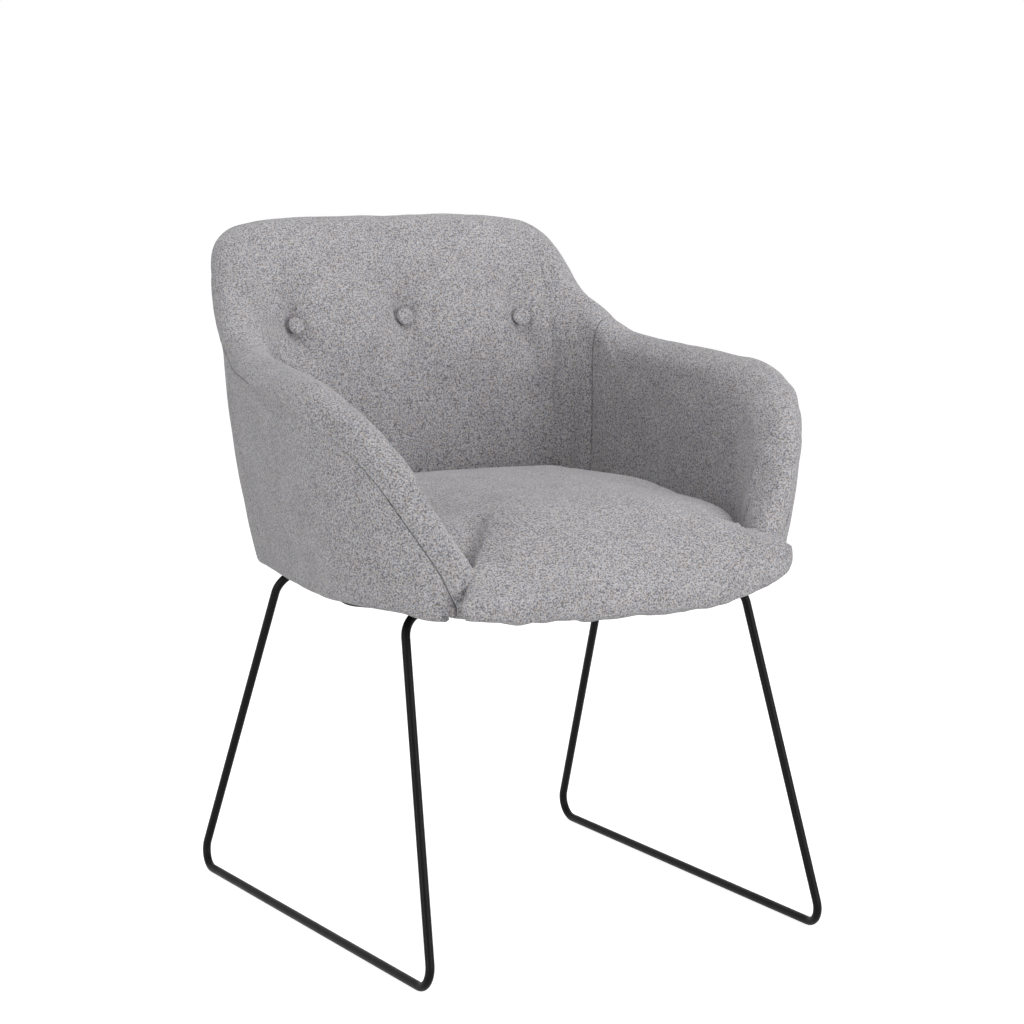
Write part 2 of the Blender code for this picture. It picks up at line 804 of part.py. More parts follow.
def seat_cutter():
    """The space of the board and of everything below it inside the tub."""
    heights = (SEAT_LIP - 2 * CUT_OVER, BOARD_BOTTOM, PAD_FOOT)
    return loft([board_ring(height, GAP) for height in heights])


def make_seat(foam_finish, cloth_finish):
    foam = bmesh.new()
    foam.faces.new(add_surface(foam, seat_rings(CLOTH + GAP, SEAT_LIP)))
    cut(add_object("seat_foam", foam, foam_finish), seat_cutter(), "seat_foam_cutter")
    cover = bmesh.new()
    outer = add_surface(cover, seat_rings(0.0, SEAT_LIP - CLOTH))
    inner = add_surface(cover, seat_rings(CLOTH, SEAT_LIP - CLOTH))
    for k in range(len(outer)):
        n = (k + 1) % len(outer)
        cover.faces.new((outer[k], outer[n], inner[n], inner[k]))
    cut(add_object("seat_cover", cover, cloth_finish), seat_cutter(), "seat_cover_cutter")


# Buttons and what ties them in


def button_frames():
    """A frame at the core's middle behind each button, with Z pointing out of the back."""
    middle, side = BUTTON_PLACES
    frames = []
    for word, run, height in (
        ("left", -side.x, side.y),
        ("centre", 0.0, middle.y),
        ("right", side.x, side.y),
    ):
        start = wall(run, height, 0.0)
        turn = (wall(run, height, CORE_FACE) - start).to_track_quat("Z", "Y").to_matrix().to_4x4()
        frames.append((word, Matrix.Translation(start) @ turn))
    return frames


def washer_face():
    return CORE_FACE + WASHER_LIFT


def make_buttons(cloth, twine, metal):
    radius = BUTTON_DIAMETER / 2
    back = DIMPLE_DEPTH - BACK_THICKNESS / 2 - GAP
    edge = back - BUTTON_BACK
    tie = TIE_DIAMETER / 2
    washer = washer_face()
    knot = washer + WASHER_THICKNESS + GAP
    button = [
        (0.0, back),
        (radius * 0.50, back - BUTTON_BACK * 0.50),
        (radius, edge),
        (radius * 0.92, edge - BUTTON_DOME * 0.50),
        (radius * 0.60, edge - BUTTON_DOME * 0.88),
        (0.0, edge - BUTTON_DOME),
    ]
    ties = [
        (0.0, back + GAP),
        (tie, back + GAP),
        (tie, knot),
        (TIE_KNOT / 2, knot + TIE_KNOT * 0.2),
        (TIE_KNOT / 2, knot + TIE_KNOT * 0.6),
        (0.0, knot + TIE_KNOT * 0.9),
    ]
    hole, rim = tie + GAP, WASHER_DIAMETER / 2
    top = washer + WASHER_THICKNESS
    washers = [(hole, washer), (rim, washer), (rim, top), (hole, top)]
    frames = button_frames()
    add_copies("back_button", frames, turned(button, 14), cloth)
    add_copies("button_tie", frames, turned(ties, 6), twine)
    add_copies("button_washer", frames, turned(washers, 12, closed=True), metal)


def cut_tie_holes(target, name):
    """Takes the path of every tie, and the pocket of its washer and knot, out of a padding or a cover."""
    tie = TIE_DIAMETER / 2 + GAP
    pocket = WASHER_DIAMETER / 2 + GAP
    deep = washer_face() + WASHER_THICKNESS + TIE_KNOT + GAP
    front = -BACK_THICKNESS
    profile = [(0.0, front), (tie, front), (tie, 0.0), (pocket, 0.0), (pocket, deep), (0.0, deep)]
    cut(target, turned_at(button_frames(), profile, 8), name)


def cut_core_holes(core):
    shank = SCREW_DIAMETER / 2 + GAP
    head = SCREW_HEAD / 2 + GAP
    seat = SCREW_HEAD_HEIGHT + GAP
    deep = CORE_THICKNESS + CUT_OVER
    profile = [(0.0, -CUT_OVER), (head, -CUT_OVER), (head, seat), (shank, seat), (shank, deep), (0.0, deep)]
    cut(core, turned_at(screw_frames(), profile, 8), "screw_hole_cutter")
    tie = TIE_DIAMETER / 2 + GAP
    profile = [(0.0, -CUT_OVER), (tie, -CUT_OVER), (tie, CUT_OVER), (0.0, CUT_OVER)]
    cut(core, turned_at(button_frames(), profile, 6), "tie_hole_cutter")


# The sled base


def rod_rings(points):
    """Rings round a path, without twist, with a flat of the rod facing the floor on the runner."""
    reach = ROD_DIAMETER / 2 / math.cos(math.pi / ROD_SIDES)
    headings = []
    for k, point in enumerate(points):
        back = point - points[k - 1] if k else points[1] - point
        ahead = points[k + 1] - point if k < len(points) - 1 else back
        headings.append((back.normalized() + ahead.normalized()).normalized())
    lowest = min(range(len(points) - 1), key=lambda k: points[k].z + points[k + 1].z)
    normals = {lowest: Vector((0.0, 0.0, 1.0))}
    for order, step in ((range(lowest + 1, len(points)), -1), (range(lowest - 1, -1, -1), 1)):
        for k in order:
            turn = headings[k + step].rotation_difference(headings[k])
            normals[k] = turn @ normals[k + step]
    rings = []
    for k, point in enumerate(points):
        side = headings[k].cross(normals[k]).normalized()
        up = side.cross(headings[k])
        ring = []
        for n in range(ROD_SIDES):
            angle = math.tau * (n + 0.5) / ROD_SIDES + math.pi / 2
            ring.append(point + side * (reach * math.cos(angle)) + up * (reach * math.sin(angle)))
        rings.append(ring)
    return rings


def make_rod(name, side, finish):
    radius = ROD_DIAMETER / 2
    middle = GAP / 2
    corners = [
        (side * middle, CROSS_FRONT[1], CROSS_HEIGHT),
        (side * CROSS_FRONT[0], CROSS_FRONT[1], CROSS_HEIGHT),
        (side * RUNNER_FRONT[0], RUNNER_FRONT[1], radius),
        (side * RUNNER_REAR[0], RUNNER_REAR[1], radius),
        (side * CROSS_REAR[0], CROSS_REAR[1], CROSS_HEIGHT),
        (side * middle, CROSS_REAR[1], CROSS_HEIGHT),
    ]
    radii = (0.0, TOP_BEND, FLOOR_BEND, FLOOR_BEND, TOP_BEND)
    points = filleted_path(corners, radii, BEND_STEPS)
    add_object(name, loft(rod_rings(points)), finish, 50.0)


def rounded_rectangle(width, depth, radius, steps):
    points = []
    for k in range(4):
        centre_x = (width / 2 - radius) * (1 if k in (0, 3) else -1)
        centre_y = (depth / 2 - radius) * (1 if k in (0, 1) else -1)
        for n in range(steps + 1):
            angle = math.pi / 2 * (k + n / steps)
            points.append((centre_x + radius * math.cos(angle), centre_y + radius * math.sin(angle)))
    return points


def make_plates(finish):
    outline = rounded_rectangle(PLATE_LENGTH, PLATE_DEPTH, PLATE_CORNER, 3)
    radius = BOLT_DIAMETER / 2 + HOLE_CLEARANCE
    count = len(outline)
    hole = []
    for k in range(count):
        angle = math.tau * (k + 0.5) / count
        hole.append((radius * math.cos(angle), radius * math.sin(angle)))
    rings = []
    for shape, height in (
        (outline, PLATE_BOTTOM),
        (outline, PLATE_TOP),
        (hole, PLATE_TOP),
        (hole, PLATE_BOTTOM),
    ):
        rings.append([Vector((x, y, height)) for x, y in shape])
    plate = bmesh.new()
    join_rings(plate, rings, closed_path=True)
    add_copies("mounting_plate", bolt_frames(), plate, finish)


def make_bolts(finish):
    shank = BOLT_DIAMETER / 2
    head = BOLT_HEAD / 2
    socket = BOLT_SOCKET / 2
    seat = PLATE_BOTTOM - GAP
    crown = seat - BOLT_HEAD_HEIGHT
    tip = seat + BOLT_LENGTH
    profile = [
        (0.0, crown + BOLT_HEAD_HEIGHT * 0.6),
        (socket, crown + BOLT_HEAD_HEIGHT * 0.6),
        (socket, crown),
        (head * BOLT_CROWN_SHARE, crown),
        (head, seat - BOLT_HEAD_HEIGHT * 0.3),
        (head, seat),
        (shank, seat),
        (shank, tip - BOLT_POINT),
        (shank - BOLT_POINT, tip),
        (0.0, tip),
    ]
    add_copies("frame_bolt", bolt_frames(), turned(profile, 12, sixsided=(1, 2)), finish)


def make_t_nuts(finish):
    bore = BOLT_DIAMETER / 2 + GAP
    barrel = NUT_BARREL / 2
    flange = NUT_FLANGE / 2
    top = BOARD_TOP - GAP
    under = top - NUT_FLANGE_THICKNESS
    profile = [
        (bore, BOARD_BOTTOM + GAP),
        (barrel, BOARD_BOTTOM + GAP),
        (barrel, under),
        (flange, under),
        (flange, top),
        (bore, top),
    ]
    add_copies("t_nut", bolt_frames(), turned(profile, 12, closed=True), finish)


def make_dust_cover(finish):
    """Thin cloth under the seat, fixed to the foot of the wall and dished under the cross runs."""
    edge_top = FOOT_HEIGHT - GAP
    floor_top = CROSS_HEIGHT - ROD_DIAMETER / 2 - GAP

    def ring(height, inset):
        return panel_outline(
            height,
            lambda run: half_thickness(run) - DUST_INSET - inset,
            DUST_LAST_RUN,
            BOARD_FRONT + DUST_FRONT_INSET + inset,
        )

    cover = bmesh.new()
    rings = [
        ring(floor_top, DUST_MARGIN),
        ring(edge_top, 0.0),
        ring(edge_top - DUST_THICKNESS, 0.0),
        ring(floor_top - DUST_THICKNESS, DUST_MARGIN),
    ]
    made = add_object("dust_cover", loft(rings, cover), finish)
    notches = bmesh.new()
    size = Matrix.Diagonal((DUST_NOTCH_DEPTH, DUST_NOTCH, 2 * DUST_NOTCH, 1.0))
    for cross in (CROSS_FRONT, CROSS_REAR):
        for side in (-1.0, 1.0):
            reach = cross[0] - DUST_NOTCH_START + DUST_NOTCH_DEPTH / 2
            middle = Vector((side * reach, cross[1], CROSS_HEIGHT))
            bmesh.ops.create_cube(notches, size=1.0, matrix=Matrix.Translation(middle) @ size)
    cut(made, notches, "leg_notch_cutter")


def make_wall(cloth, foam, core_finish):
    cut_core_holes(make_core(core_finish))
    back = back_columns()
    cut_tie_holes(make_inside("back_foam", back, pad_depths, True, foam), "foam_hole_cutter")
    cut_tie_holes(make_outside("outside_back_foam", back, pad_depths, foam), "outer_foam_hole_cutter")
    cut_tie_holes(make_inside("inside_back_cover", back, cloth_depths, True, cloth), "cloth_hole_cutter")
    make_outside("outside_back_cover", back, cloth_depths, cloth)
    for side, word in ((-1.0, "left"), (1.0, "right")):
        arm = arm_columns(side)
        make_inside(f"arm_foam_{word}", arm, pad_depths, False, foam)
        make_outside(f"outside_arm_foam_{word}", arm, pad_depths, foam)
        make_inside(f"inside_arm_cover_{word}", arm, cloth_depths, False, cloth)
        make_outside(f"outside_arm_cover_{word}", arm, cloth_depths, cloth)


def main():
    clear_scene()
    cloth = material("grey_melange_cloth", (0.36, 0.35, 0.36), 0.95)
    foam = material("foam", (0.80, 0.76, 0.62), 0.90)
    shell = material("moulded_core", (0.10, 0.10, 0.10), 0.60)
    wood = material("plywood", (0.55, 0.38, 0.22), 0.70)
    black = material("black_powder_coat", (0.012, 0.012, 0.013), 0.45)
    zinc = material("zinc_plated_steel", (0.62, 0.62, 0.60), 0.35, 1.0)
    twine = material("button_twine", (0.30, 0.28, 0.26), 0.90)
    dust = material("dust_cloth", (0.015, 0.015, 0.016), 0.95)

    for side, word in ((-1.0, "left"), (1.0, "right")):
        make_rod(f"sled_rod_{word}", side, black)
    make_plates(black)
    make_bolts(zinc)
    make_t_nuts(zinc)
    make_board(wood)
    make_screws(zinc)
    make_wall(cloth, foam, shell)
    make_seat(foam, cloth)
    make_buttons(cloth, twine, zinc)
    make_dust_cover(dust)


main()
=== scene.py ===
"""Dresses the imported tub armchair: padded cloth, bent steel rod and a plain studio.

Metres, +Z up. The chair faces -Y and stands on the floor at z = 0. The tub is one padded wall. A place on it is
given by its run round the plan, from the middle of the back, its height, and its depth from the middle surface.
"""

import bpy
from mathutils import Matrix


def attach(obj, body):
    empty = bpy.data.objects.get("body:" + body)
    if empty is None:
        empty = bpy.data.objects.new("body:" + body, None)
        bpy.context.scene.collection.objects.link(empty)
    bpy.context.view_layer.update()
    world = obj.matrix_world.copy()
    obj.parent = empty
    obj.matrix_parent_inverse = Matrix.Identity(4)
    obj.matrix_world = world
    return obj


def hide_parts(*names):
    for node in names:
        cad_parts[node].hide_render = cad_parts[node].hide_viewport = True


bl_info = {
    "name": "Tub Armchair",
    "version": (1, 0, 0),
    "blender": (4, 5, 0),
    "location": "3D View > Sidebar > Armchair",
    "description": "Upholstery, sled base and studio for a buttoned tub armchair",
    "category": "Object",
}

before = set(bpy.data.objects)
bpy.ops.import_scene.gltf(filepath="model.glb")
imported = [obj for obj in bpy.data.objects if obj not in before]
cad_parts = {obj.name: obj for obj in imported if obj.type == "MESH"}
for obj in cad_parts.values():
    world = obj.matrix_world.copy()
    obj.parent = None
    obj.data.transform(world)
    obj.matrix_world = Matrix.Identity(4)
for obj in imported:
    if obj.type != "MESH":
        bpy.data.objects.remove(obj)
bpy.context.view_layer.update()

import math
from types import SimpleNamespace

import bmesh
import bpy
from mathutils import Matrix, Vector, noise

SIDES = ((-1.0, "left"), (1.0, "right"))

# Points closer than this are made one
MERGED = 1e-6

# The wall, as the solids have it. GAP is the room between neighbouring pieces.
GAP = 0.0003
CROSS_HEIGHT = 0.390
FOOT_HEIGHT = 0.396
PAD_FOOT = 0.4109
CORE_FACE = 0.0045
PAD_INNER = CORE_FACE + GAP
PLAN_HEIGHT = 0.600
BACK_DEPTH = 0.2309
PLAN_ARCS = ((0.750, 14.5), (0.070, 77.0), (1.880, 85.5), (0.200, 180.0))  # radius, and the angle where it ends
BACK_LEAN = 0.020
SIDE_LEAN = 0.1165
SIDE_LEAN_RUN = 0.354
TUCK_HEIGHT = 0.592
TUCK_IN = 0.01383
KNEE_HEIGHT = 0.641
KNEE_BLEND = 0.040
UPPER_LEAN = 0.743
BACK_THICKNESS = 0.060
ARM_THICKNESS = 0.048
BACK_ARC, CORNER_ARC = PLAN_ARCS[:2]
CORNER_RUN = BACK_ARC[0] * math.radians(BACK_ARC[1]) + CORNER_ARC[0] * math.radians(CORNER_ARC[1] - BACK_ARC[1])

# The rim, as (run, height, bend radius) corners
RIM = (
    (0.0000, 0.7960, 0.000),
    (0.1000, 0.7945, 0.600),
    (0.2180, 0.7865, 0.042),
    (0.2690, 0.6610, 0.100),
    (0.6390, 0.6264, 0.217),
    (0.7944, 0.3930, 0.0255),
    (0.7000, 0.3930, 0.000),
)
RIM_BEND_STEPS = 60
RIM_END_TURN = 0.60
RIM_SQUARENESS = 0.50
SQUARE_PULL = 1.40
RIM_END_SHARE = 0.82
BAND_SHARE = 0.75
BACK_BAND = 0.034
ARM_BAND = 0.030
ARM_FOOT_RUN = 0.728
LEAN_RUN = 0.205
SEAM_RUN = 0.285
SEAM_FOOT_RUN = 0.300

# Buttons, their dimples and the pit right round each
BUTTON_RUN = 0.160
BUTTON_HEIGHT = 0.6660
BUTTON_STEPS = 48
BUTTON_SINK = 0.0005
BUTTON_FOOT = (0.55, 0.0006)
BUTTON_WAIST = 0.86
BUTTON_ROUNDNESS = 0.62
BUTTON_TURNS = range(-20, 90, 10)
BUTTON_LUMPS = (0.0002, 180.0)
DIMPLE_DEPTH = 0.0115
DIMPLE_REACH = 0.029
PIT_SHARE = 0.44
PIT_EDGE = 0.006

# The seat cushion. Its outline is widest at SEAT_WIDEST. Each shoulder is how far it stands out from the foot of
# the arm and back from the front edge, and how straight the side runs on towards it.
# A pair whose name ends in EASE is where a change starts and over what distance it is complete.
SEAT_CLEARANCE = 0.0026
SEAT_FRONT = -0.3351
SEAT_LIP = 0.3832
SEAT_WIDEST = 0.4140
SEAT_TOP = 0.4860
SEAT_CROWN = 0.0130
CROWN_POWER = 2.4
SEAT_FALL = 0.058
SEAT_FALL_START = -0.1441
SEAT_FALL_POWER = 3.0
SEAT_LAST_RUN = 0.728
SEAT_CENTRE = -0.0691
SHOULDERS = {-1.0: (0.0320, 0.0250, 0.037), 1.0: (0.0430, 0.0290, 0.040)}
SHOULDER_IN = (-0.012, 0.008)
SHOULDER_OUT = (0.001, -0.015)
SHOULDER_BOW = 0.130
SIDE_BOXINESS = 7.0
FRONT_BOXINESS = {-1.0: 3.6, 1.0: 3.5}
SOFT_EASE = {-1.0: (0.228, 0.062), 1.0: (0.250, 0.055)}

# How the cushion's lower edge climbs to each shoulder: by how much, at which distance from the middle, and how late
LIP_CLIMB = {-1.0: (0.010, 0.200, 2.6), 1.0: (0.0175, 0.190, 3.4)}
WIDEST_CLIMB = {-1.0: -0.006, 1.0: 0.020}
FALL_KEPT = {-1.0: 1.0, 1.0: 0.25}
SIDE_FALL = 0.012
SIDE_GAP = {-1.0: 0.0060, 1.0: 0.0}
GAP_EASE = (0.54, 0.12)
GAP_RISE = 0.02
BESIDE_EASE = (0.06, 0.12)
SIDE_FALL_EASE = (0.03, 0.11)
FRONT_EASE = (0.20, 0.07)
SHOULDER_EASE = (0.09, 0.12)
UPRIGHT_EASE = (0.235, 0.020)
SEAT_STEPS = (52, 12, 18)  # along the wall, round the foot of the arm, and across the front
SEAT_CURVE_POWER = 1.4
SEAT_TURNS = (0, 3, 7, 12, 18, 25, 32, 39, 46, 53, 59, 65, 70, 75, 79, 83, 86, 88, 89.2)
SEAT_VOXEL = 0.0060
SEAT_HELD = 0.004
SEAT_PUSH = 0.70
SEAT_SLACK = 0.002
SEAT_LUMPS = 14.0
PUCKER_TOP = 0.432
PUCKER_REAR = -0.20
PUCKER_SEED = 0.4
PUCKER_EASE = (SEAT_LIP, 0.030)
PUCKER_PITCH = (52.0, 20.0)
PUCKER_DROP = 0.0040
PUCKER_OUT = 0.0014

# The dust cover. It hangs a little beside the left rear leg, at this run and over this spread. A slot is how far it
# reaches in and out from a leg, and its half width.
DUST_INSET = 0.014
DUST_LAST_RUN = 0.640
DUST_FRONT = -0.2961
DUST_EDGE = FOOT_HEIGHT - GAP
DUST_FLOOR = 0.3835
DUST_MARGIN = 0.046
DUST_CORNER = 0.006
DUST_BOW = 0.115
DUST_STEPS = (90, 34, 9)  # along the wall, across the front, and inwards
DUST_HANG = 0.0040
DUST_HANG_RUN = (0.560, 0.045)
DUST_HANG_EASE = (0.2, 0.5)
DUST_CLOTH = 0.0006
DUST_HEM = 0.01
LEG_SLOT = (0.034, 0.024, 0.010)

# The sled base
ROD_RADIUS = 0.005
RUNNER_FRONT = (0.2508, -0.3266)
RUNNER_REAR = (0.2562, 0.2784)
CROSS_FRONT = (0.2180, -0.2016)
CROSS_REAR = (0.2245, 0.1029)
ROD_CREASE = math.radians(50.0)
ROD_BENDS = (0.0, 0.030, 0.022, 0.022, 0.030)
BEND_STEPS = 14


def length(name, description, default, low, high):
    return bpy.props.FloatProperty(
        name=name, description=description, default=default, min=low, max=high, precision=4,
        subtype="DISTANCE", unit="LENGTH",
    )


def share(name, description, default, low=0.0, high=1.0):
    return bpy.props.FloatProperty(
        name=name, description=description, default=default, min=low, max=high, subtype="FACTOR"
    )


def tint(name, description, default):
    return bpy.props.FloatVectorProperty(
        name=name, description=description, default=default, size=3, min=0.0, max=1.0, subtype="COLOR"
    )


def power(name, description, default):
    return bpy.props.FloatProperty(name=name, description=description, default=default, unit="POWER")


class ClothSettings(bpy.types.PropertyGroup):
    dark: tint("Dark fibres", "Darkest wool in the mix", (0.165, 0.160, 0.169))
    middle: tint("Middle fibres", "Wool that makes up most of the cloth", (0.410, 0.400, 0.408))
    light: tint("Light fibres", "Palest wool in the mix", (0.575, 0.563, 0.575))
    cool: tint("Cool fibres", "Slightly blue wool", (0.285, 0.315, 0.405))
    warm: tint("Warm fibres", "Slightly brown wool", (0.420, 0.340, 0.280))
    fleck: length("Fleck", "Size of one fleck of colour", 0.0018, 0.0004, 0.01)
    nap: length("Nap", "Height of the felted surface", 0.0006, 0.0, 0.003)
    sheen: share("Sheen", "How much the raised fibres catch the light", 0.20)


class PaddingSettings(bpy.types.PropertyGroup):
    spacing: length("Spacing", "Distance between points of the padding", 0.0065, 0.003, 0.02)
    pressure: bpy.props.FloatProperty(
        name="Pressure", description="How hard the filling pushes the cloth out", default=6.0, min=0.0, max=20.0
    )
    swell: length("Swell", "How far the cloth may stand out from its cut", 0.0050, 0.0, 0.016)
    cut: share("Cut", "Part of the swell by which a piece is cut smaller", 0.05)
    seam: length("Seam", "Radius at which the cloth turns into a seam", 0.0026, 0.0005, 0.01)
    hem: length("Hem", "Radius at which the outer cloth turns under", 0.0060, 0.001, 0.02)
    sag: length("Sag", "How far the outer cloth hangs below the core at the back", 0.0030, 0.0, 0.02)
    tip: length("Tip", "How far the cloth is drawn down at the front tip of an arm", 0.0140, 0.0, 0.02)
    front: length("Front", "How much fuller the front of an arm is than the rest", 0.0055, 0.0, 0.012)
    corner: length("Corner", "How much leaner the top corners of the back are than the rest", 0.0035, 0.0, 0.012)
    lumps: length("Lumps", "Unevenness of the filling", 0.0008, 0.0, 0.005)


class ButtonSettings(bpy.types.PropertyGroup):
    diameter: length("Diameter", "Covered button across", 0.0220, 0.01, 0.04)
    dome: length("Dome", "Height of the button's face", 0.0030, 0.001, 0.01)
    pit: length("Pit", "Extra depth right round the button", 0.0030, 0.0, 0.01)
    proud: length("Proud", "How far the button's edge stands out of its dimple", 0.0036, 0.0, 0.01)


class BaseSettings(bpy.types.PropertyGroup):
    colour: tint("Powder coat", "Colour of the coated rod", (0.0030, 0.0030, 0.0033))
    sides: bpy.props.IntProperty(name="Sides", description="Sides round the rod", default=28, min=8, max=64)


class StageSettings(bpy.types.PropertyGroup):
    floor: length("Floor", "Width of the floor", 40.0, 4.0, 100.0)
    floor_colour: share("Floor colour", "How pale the floor is", 0.62)
    floor_glow: share("Floor glow", "What the floor adds for the camera, to come out white", 0.90, 0.0, 2.0)
    sky: share("Sky", "Strength of the light from all round", 0.235, 0.0, 4.0)
    above: power("Above", "Power of the lamp overhead", 32.0)
    front: power("Front", "Power of the lamp in front", 31.0)
    low: power("Low", "Power of the low lamp in front", 22.5)
    left: power("Left", "Power of the lamp on the left", 24.0)


GROUPS = {
    "armchair_cloth": ClothSettings,
    "armchair_padding": PaddingSettings,
    "armchair_buttons": ButtonSettings,
    "armchair_base": BaseSettings,
    "armchair_stage": StageSettings,
}


# The wall's surface


def smooth_step(value):
    value = min(1.0, max(0.0, value))
    return value * value * (3.0 - 2.0 * value)


def eased(value, start, reach):
    """0 up to the start, then smoothly up to 1 over the reach."""
    return smooth_step((value - start) / reach)


def bezier(first, second, third, last, t):
    rest = 1.0 - t
    return first * rest**3 + second * (3 * rest**2 * t) + third * (3 * rest * t**2) + last * t**3


def filleted_path(corners, radii, steps):
    """Points along straight runs whose corners are rounded."""
    corners = [Vector(corner) for corner in corners]
    points = [corners[0]]
    for before, corner, after, radius in zip(corners, corners[1:], corners[2:], radii[1:]):
        back = (before - corner).normalized()
        ahead = (after - corner).normalized()
        half = back.angle(ahead) / 2
        centre = corner + (back + ahead).normalized() * (radius / math.sin(half))
        arm = corner + back * (radius / math.tan(half)) - centre
        sweep = math.pi - 2 * half
        for k in range(steps + 1):
            angle = sweep * k / steps
            points.append(centre + arm * math.cos(angle) - back * (radius * math.sin(angle)))
    points.append(corners[-1])
    return points


def plan(run):
    """Point and outward normal of the plan curve."""
    side = -1.0 if run < 0.0 else 1.0
    rest = abs(run)
    angle = 0.0
    radius, end = PLAN_ARCS[0]
    centre = Vector((0.0, BACK_DEPTH - radius))
    for next_radius, next_end in PLAN_ARCS[1:]:
        arc = radius * (math.radians(end) - angle)
        if rest <= arc:
            break
        rest -= arc
        angle = math.radians(end)
        centre += Vector((math.sin(angle), math.cos(angle))) * (radius - next_radius)
        radius, end = next_radius, next_end
    angle += rest / radius
    across, along = math.sin(angle), math.cos(angle)
    place = Vector((side * (centre.x + radius * across), centre.y + radius * along, 0.0))
    return place, Vector((side * across, along, 0.0))


def wall(run, height, depth):
    """A point on the wall, `depth` outside its middle surface."""
    foot, normal = plan(run)
    lean = BACK_LEAN + (SIDE_LEAN - BACK_LEAN) * smooth_step(abs(run) / SIDE_LEAN_RUN)
    offset = lean * (height - PLAN_HEIGHT)
    offset -= TUCK_IN * (max(0.0, TUCK_HEIGHT - height) / (TUCK_HEIGHT - FOOT_HEIGHT)) ** 2
    rise = max(0.0, height - KNEE_HEIGHT)
    upper = UPPER_LEAN - BACK_LEAN
    back = upper * rise**2 / (rise + KNEE_BLEND)
    slope = upper * rise * (rise + 2 * KNEE_BLEND) / (rise + KNEE_BLEND) ** 2
    across = Vector((normal.x, normal.y, -slope * normal.y)).normalized()
    return foot + normal * offset + Vector((0.0, back, height)) + across * depth


def half_thickness(run):
    blend = eased(abs(run), BUTTON_RUN, CORNER_RUN - BUTTON_RUN)
    return (BACK_THICKNESS + (ARM_THICKNESS - BACK_THICKNESS) * blend) / 2


class Rim:
    """The rim as a path in (run, height), read by the distance along it."""

    def __init__(self):
        corners = [(run, height) for run, height, _ in RIM]
        path = filleted_path(corners, [radius for _, _, radius in RIM[:-1]], RIM_BEND_STEPS)
        last_bend = len(path) - 1 - (RIM_BEND_STEPS + 1)
        self.points = path[: last_bend + round(RIM_BEND_STEPS * RIM_END_TURN) + 1]
        self.marks = [0.0]
        for first, second in zip(self.points, self.points[1:]):
            self.marks.append(self.marks[-1] + (second - first).length)
        self.length = self.marks[-1]

    def place(self, distance):
        k = 0
        while k < len(self.marks) - 2 and self.marks[k + 1] < distance:
            k += 1
        step = self.points[k + 1] - self.points[k]
        along = (distance - self.marks[k]) / step.length
        return self.points[k] + step * along, step.normalized()

    def distance_at_run(self, run):
        for first, second, mark in zip(self.points, self.points[1:], self.marks):
            if first.x <= run <= second.x:
                return mark + (run - first.x) / (second.x - first.x) * (second - first).length
        return self.length


RIM_PATH = Rim()
BUTTON_MARK = RIM_PATH.distance_at_run(BUTTON_RUN)
SEAM_MARK = RIM_PATH.distance_at_run(SEAM_RUN)
CORNER_MARK = RIM_PATH.distance_at_run(LEAN_RUN)


class Column:
    """One line down the wall: from the rim straight in across the band, then in a curve to the foot."""

    def __init__(self, mark, side):
        self.side = side
        self.mark = mark
        self.top, heading = RIM_PATH.place(mark)
        corner = min(1.0, max(0.0, (mark - BUTTON_MARK) / (SEAM_MARK - BUTTON_MARK)))
        arm = max(0.0, (mark - SEAM_MARK) / (RIM_PATH.length - SEAM_MARK))
        foot_run = min(self.top.x, BUTTON_RUN)
        foot_run += (SEAM_FOOT_RUN - BUTTON_RUN) * corner + (ARM_FOOT_RUN - SEAM_FOOT_RUN) * arm
        self.foot = Vector((foot_run, PAD_FOOT))
        reach = self.foot - self.top
        end = eased(mark / RIM_PATH.length, RIM_END_SHARE, 1.0 - RIM_END_SHARE)
        share_square = RIM_SQUARENESS * smooth_step(2 * corner) * (1.0 - end)
        square = Vector((heading.y, -heading.x))
        self.inward = (square * share_square + reach.normalized() * (1.0 - share_square)).normalized()
        self.pull = (1.0 - SQUARE_PULL * share_square) / 3
        self.band = min(BACK_BAND + (ARM_BAND - BACK_BAND) * corner, BAND_SHARE * reach.length)
        self.half = half_thickness(self.top.x)

    def at_drop(self, drop):
        return self.top + self.inward * drop

    def at_row(self, row):
        """A place between the seam (0) and the foot (1)."""
        start = self.at_drop(self.band)
        reach = (self.foot - start).length
        above_foot = self.foot + Vector((0.0, reach / 3))
        return bezier(start, start + self.inward * (reach * self.pull), above_foot, self.foot, row)

    def point(self, place, depth):
        return wall(self.side * place.x, place.y, depth)


BUTTON_ROW = (RIM[0][1] - BACK_BAND - BUTTON_HEIGHT) / (RIM[0][1] - BACK_BAND - PAD_FOOT)
MIDDLE_BUTTON = Column(0.0, 1.0).at_row(BUTTON_ROW)
SIDE_BUTTON = Column(BUTTON_MARK, 1.0).at_row(BUTTON_ROW)
BUTTONS = (
    ("left", Vector((-SIDE_BUTTON.x, SIDE_BUTTON.y))),
    ("centre", MIDDLE_BUTTON),
    ("right", SIDE_BUTTON),
)

# Soft folds in the back, from a button: direction in degrees, length, width and depth
FOLD_START = 0.010
FOLD_NARROW = 0.6
FOLDS = (
    ("left", 95.0, 0.045, 0.0075, 0.0110),
    ("left", -82.0, 0.060, 0.0090, 0.0045),
    ("left", 200.0, 0.035, 0.0080, 0.0020),
    ("centre", 62.0, 0.058, 0.0130, 0.0125),
    ("centre", 130.0, 0.045, 0.0110, 0.0060),
    ("centre", -95.0, 0.045, 0.0110, 0.0015),
    ("right", 100.0, 0.050, 0.0100, 0.0042),
    ("right", -76.0, 0.115, 0.0150, 0.0085),
    ("right", 20.0, 0.040, 0.0090, 0.0020),
)


def from_button(place):
    """Distance from the nearest button."""
    return min((place - button).length for _, button in BUTTONS)


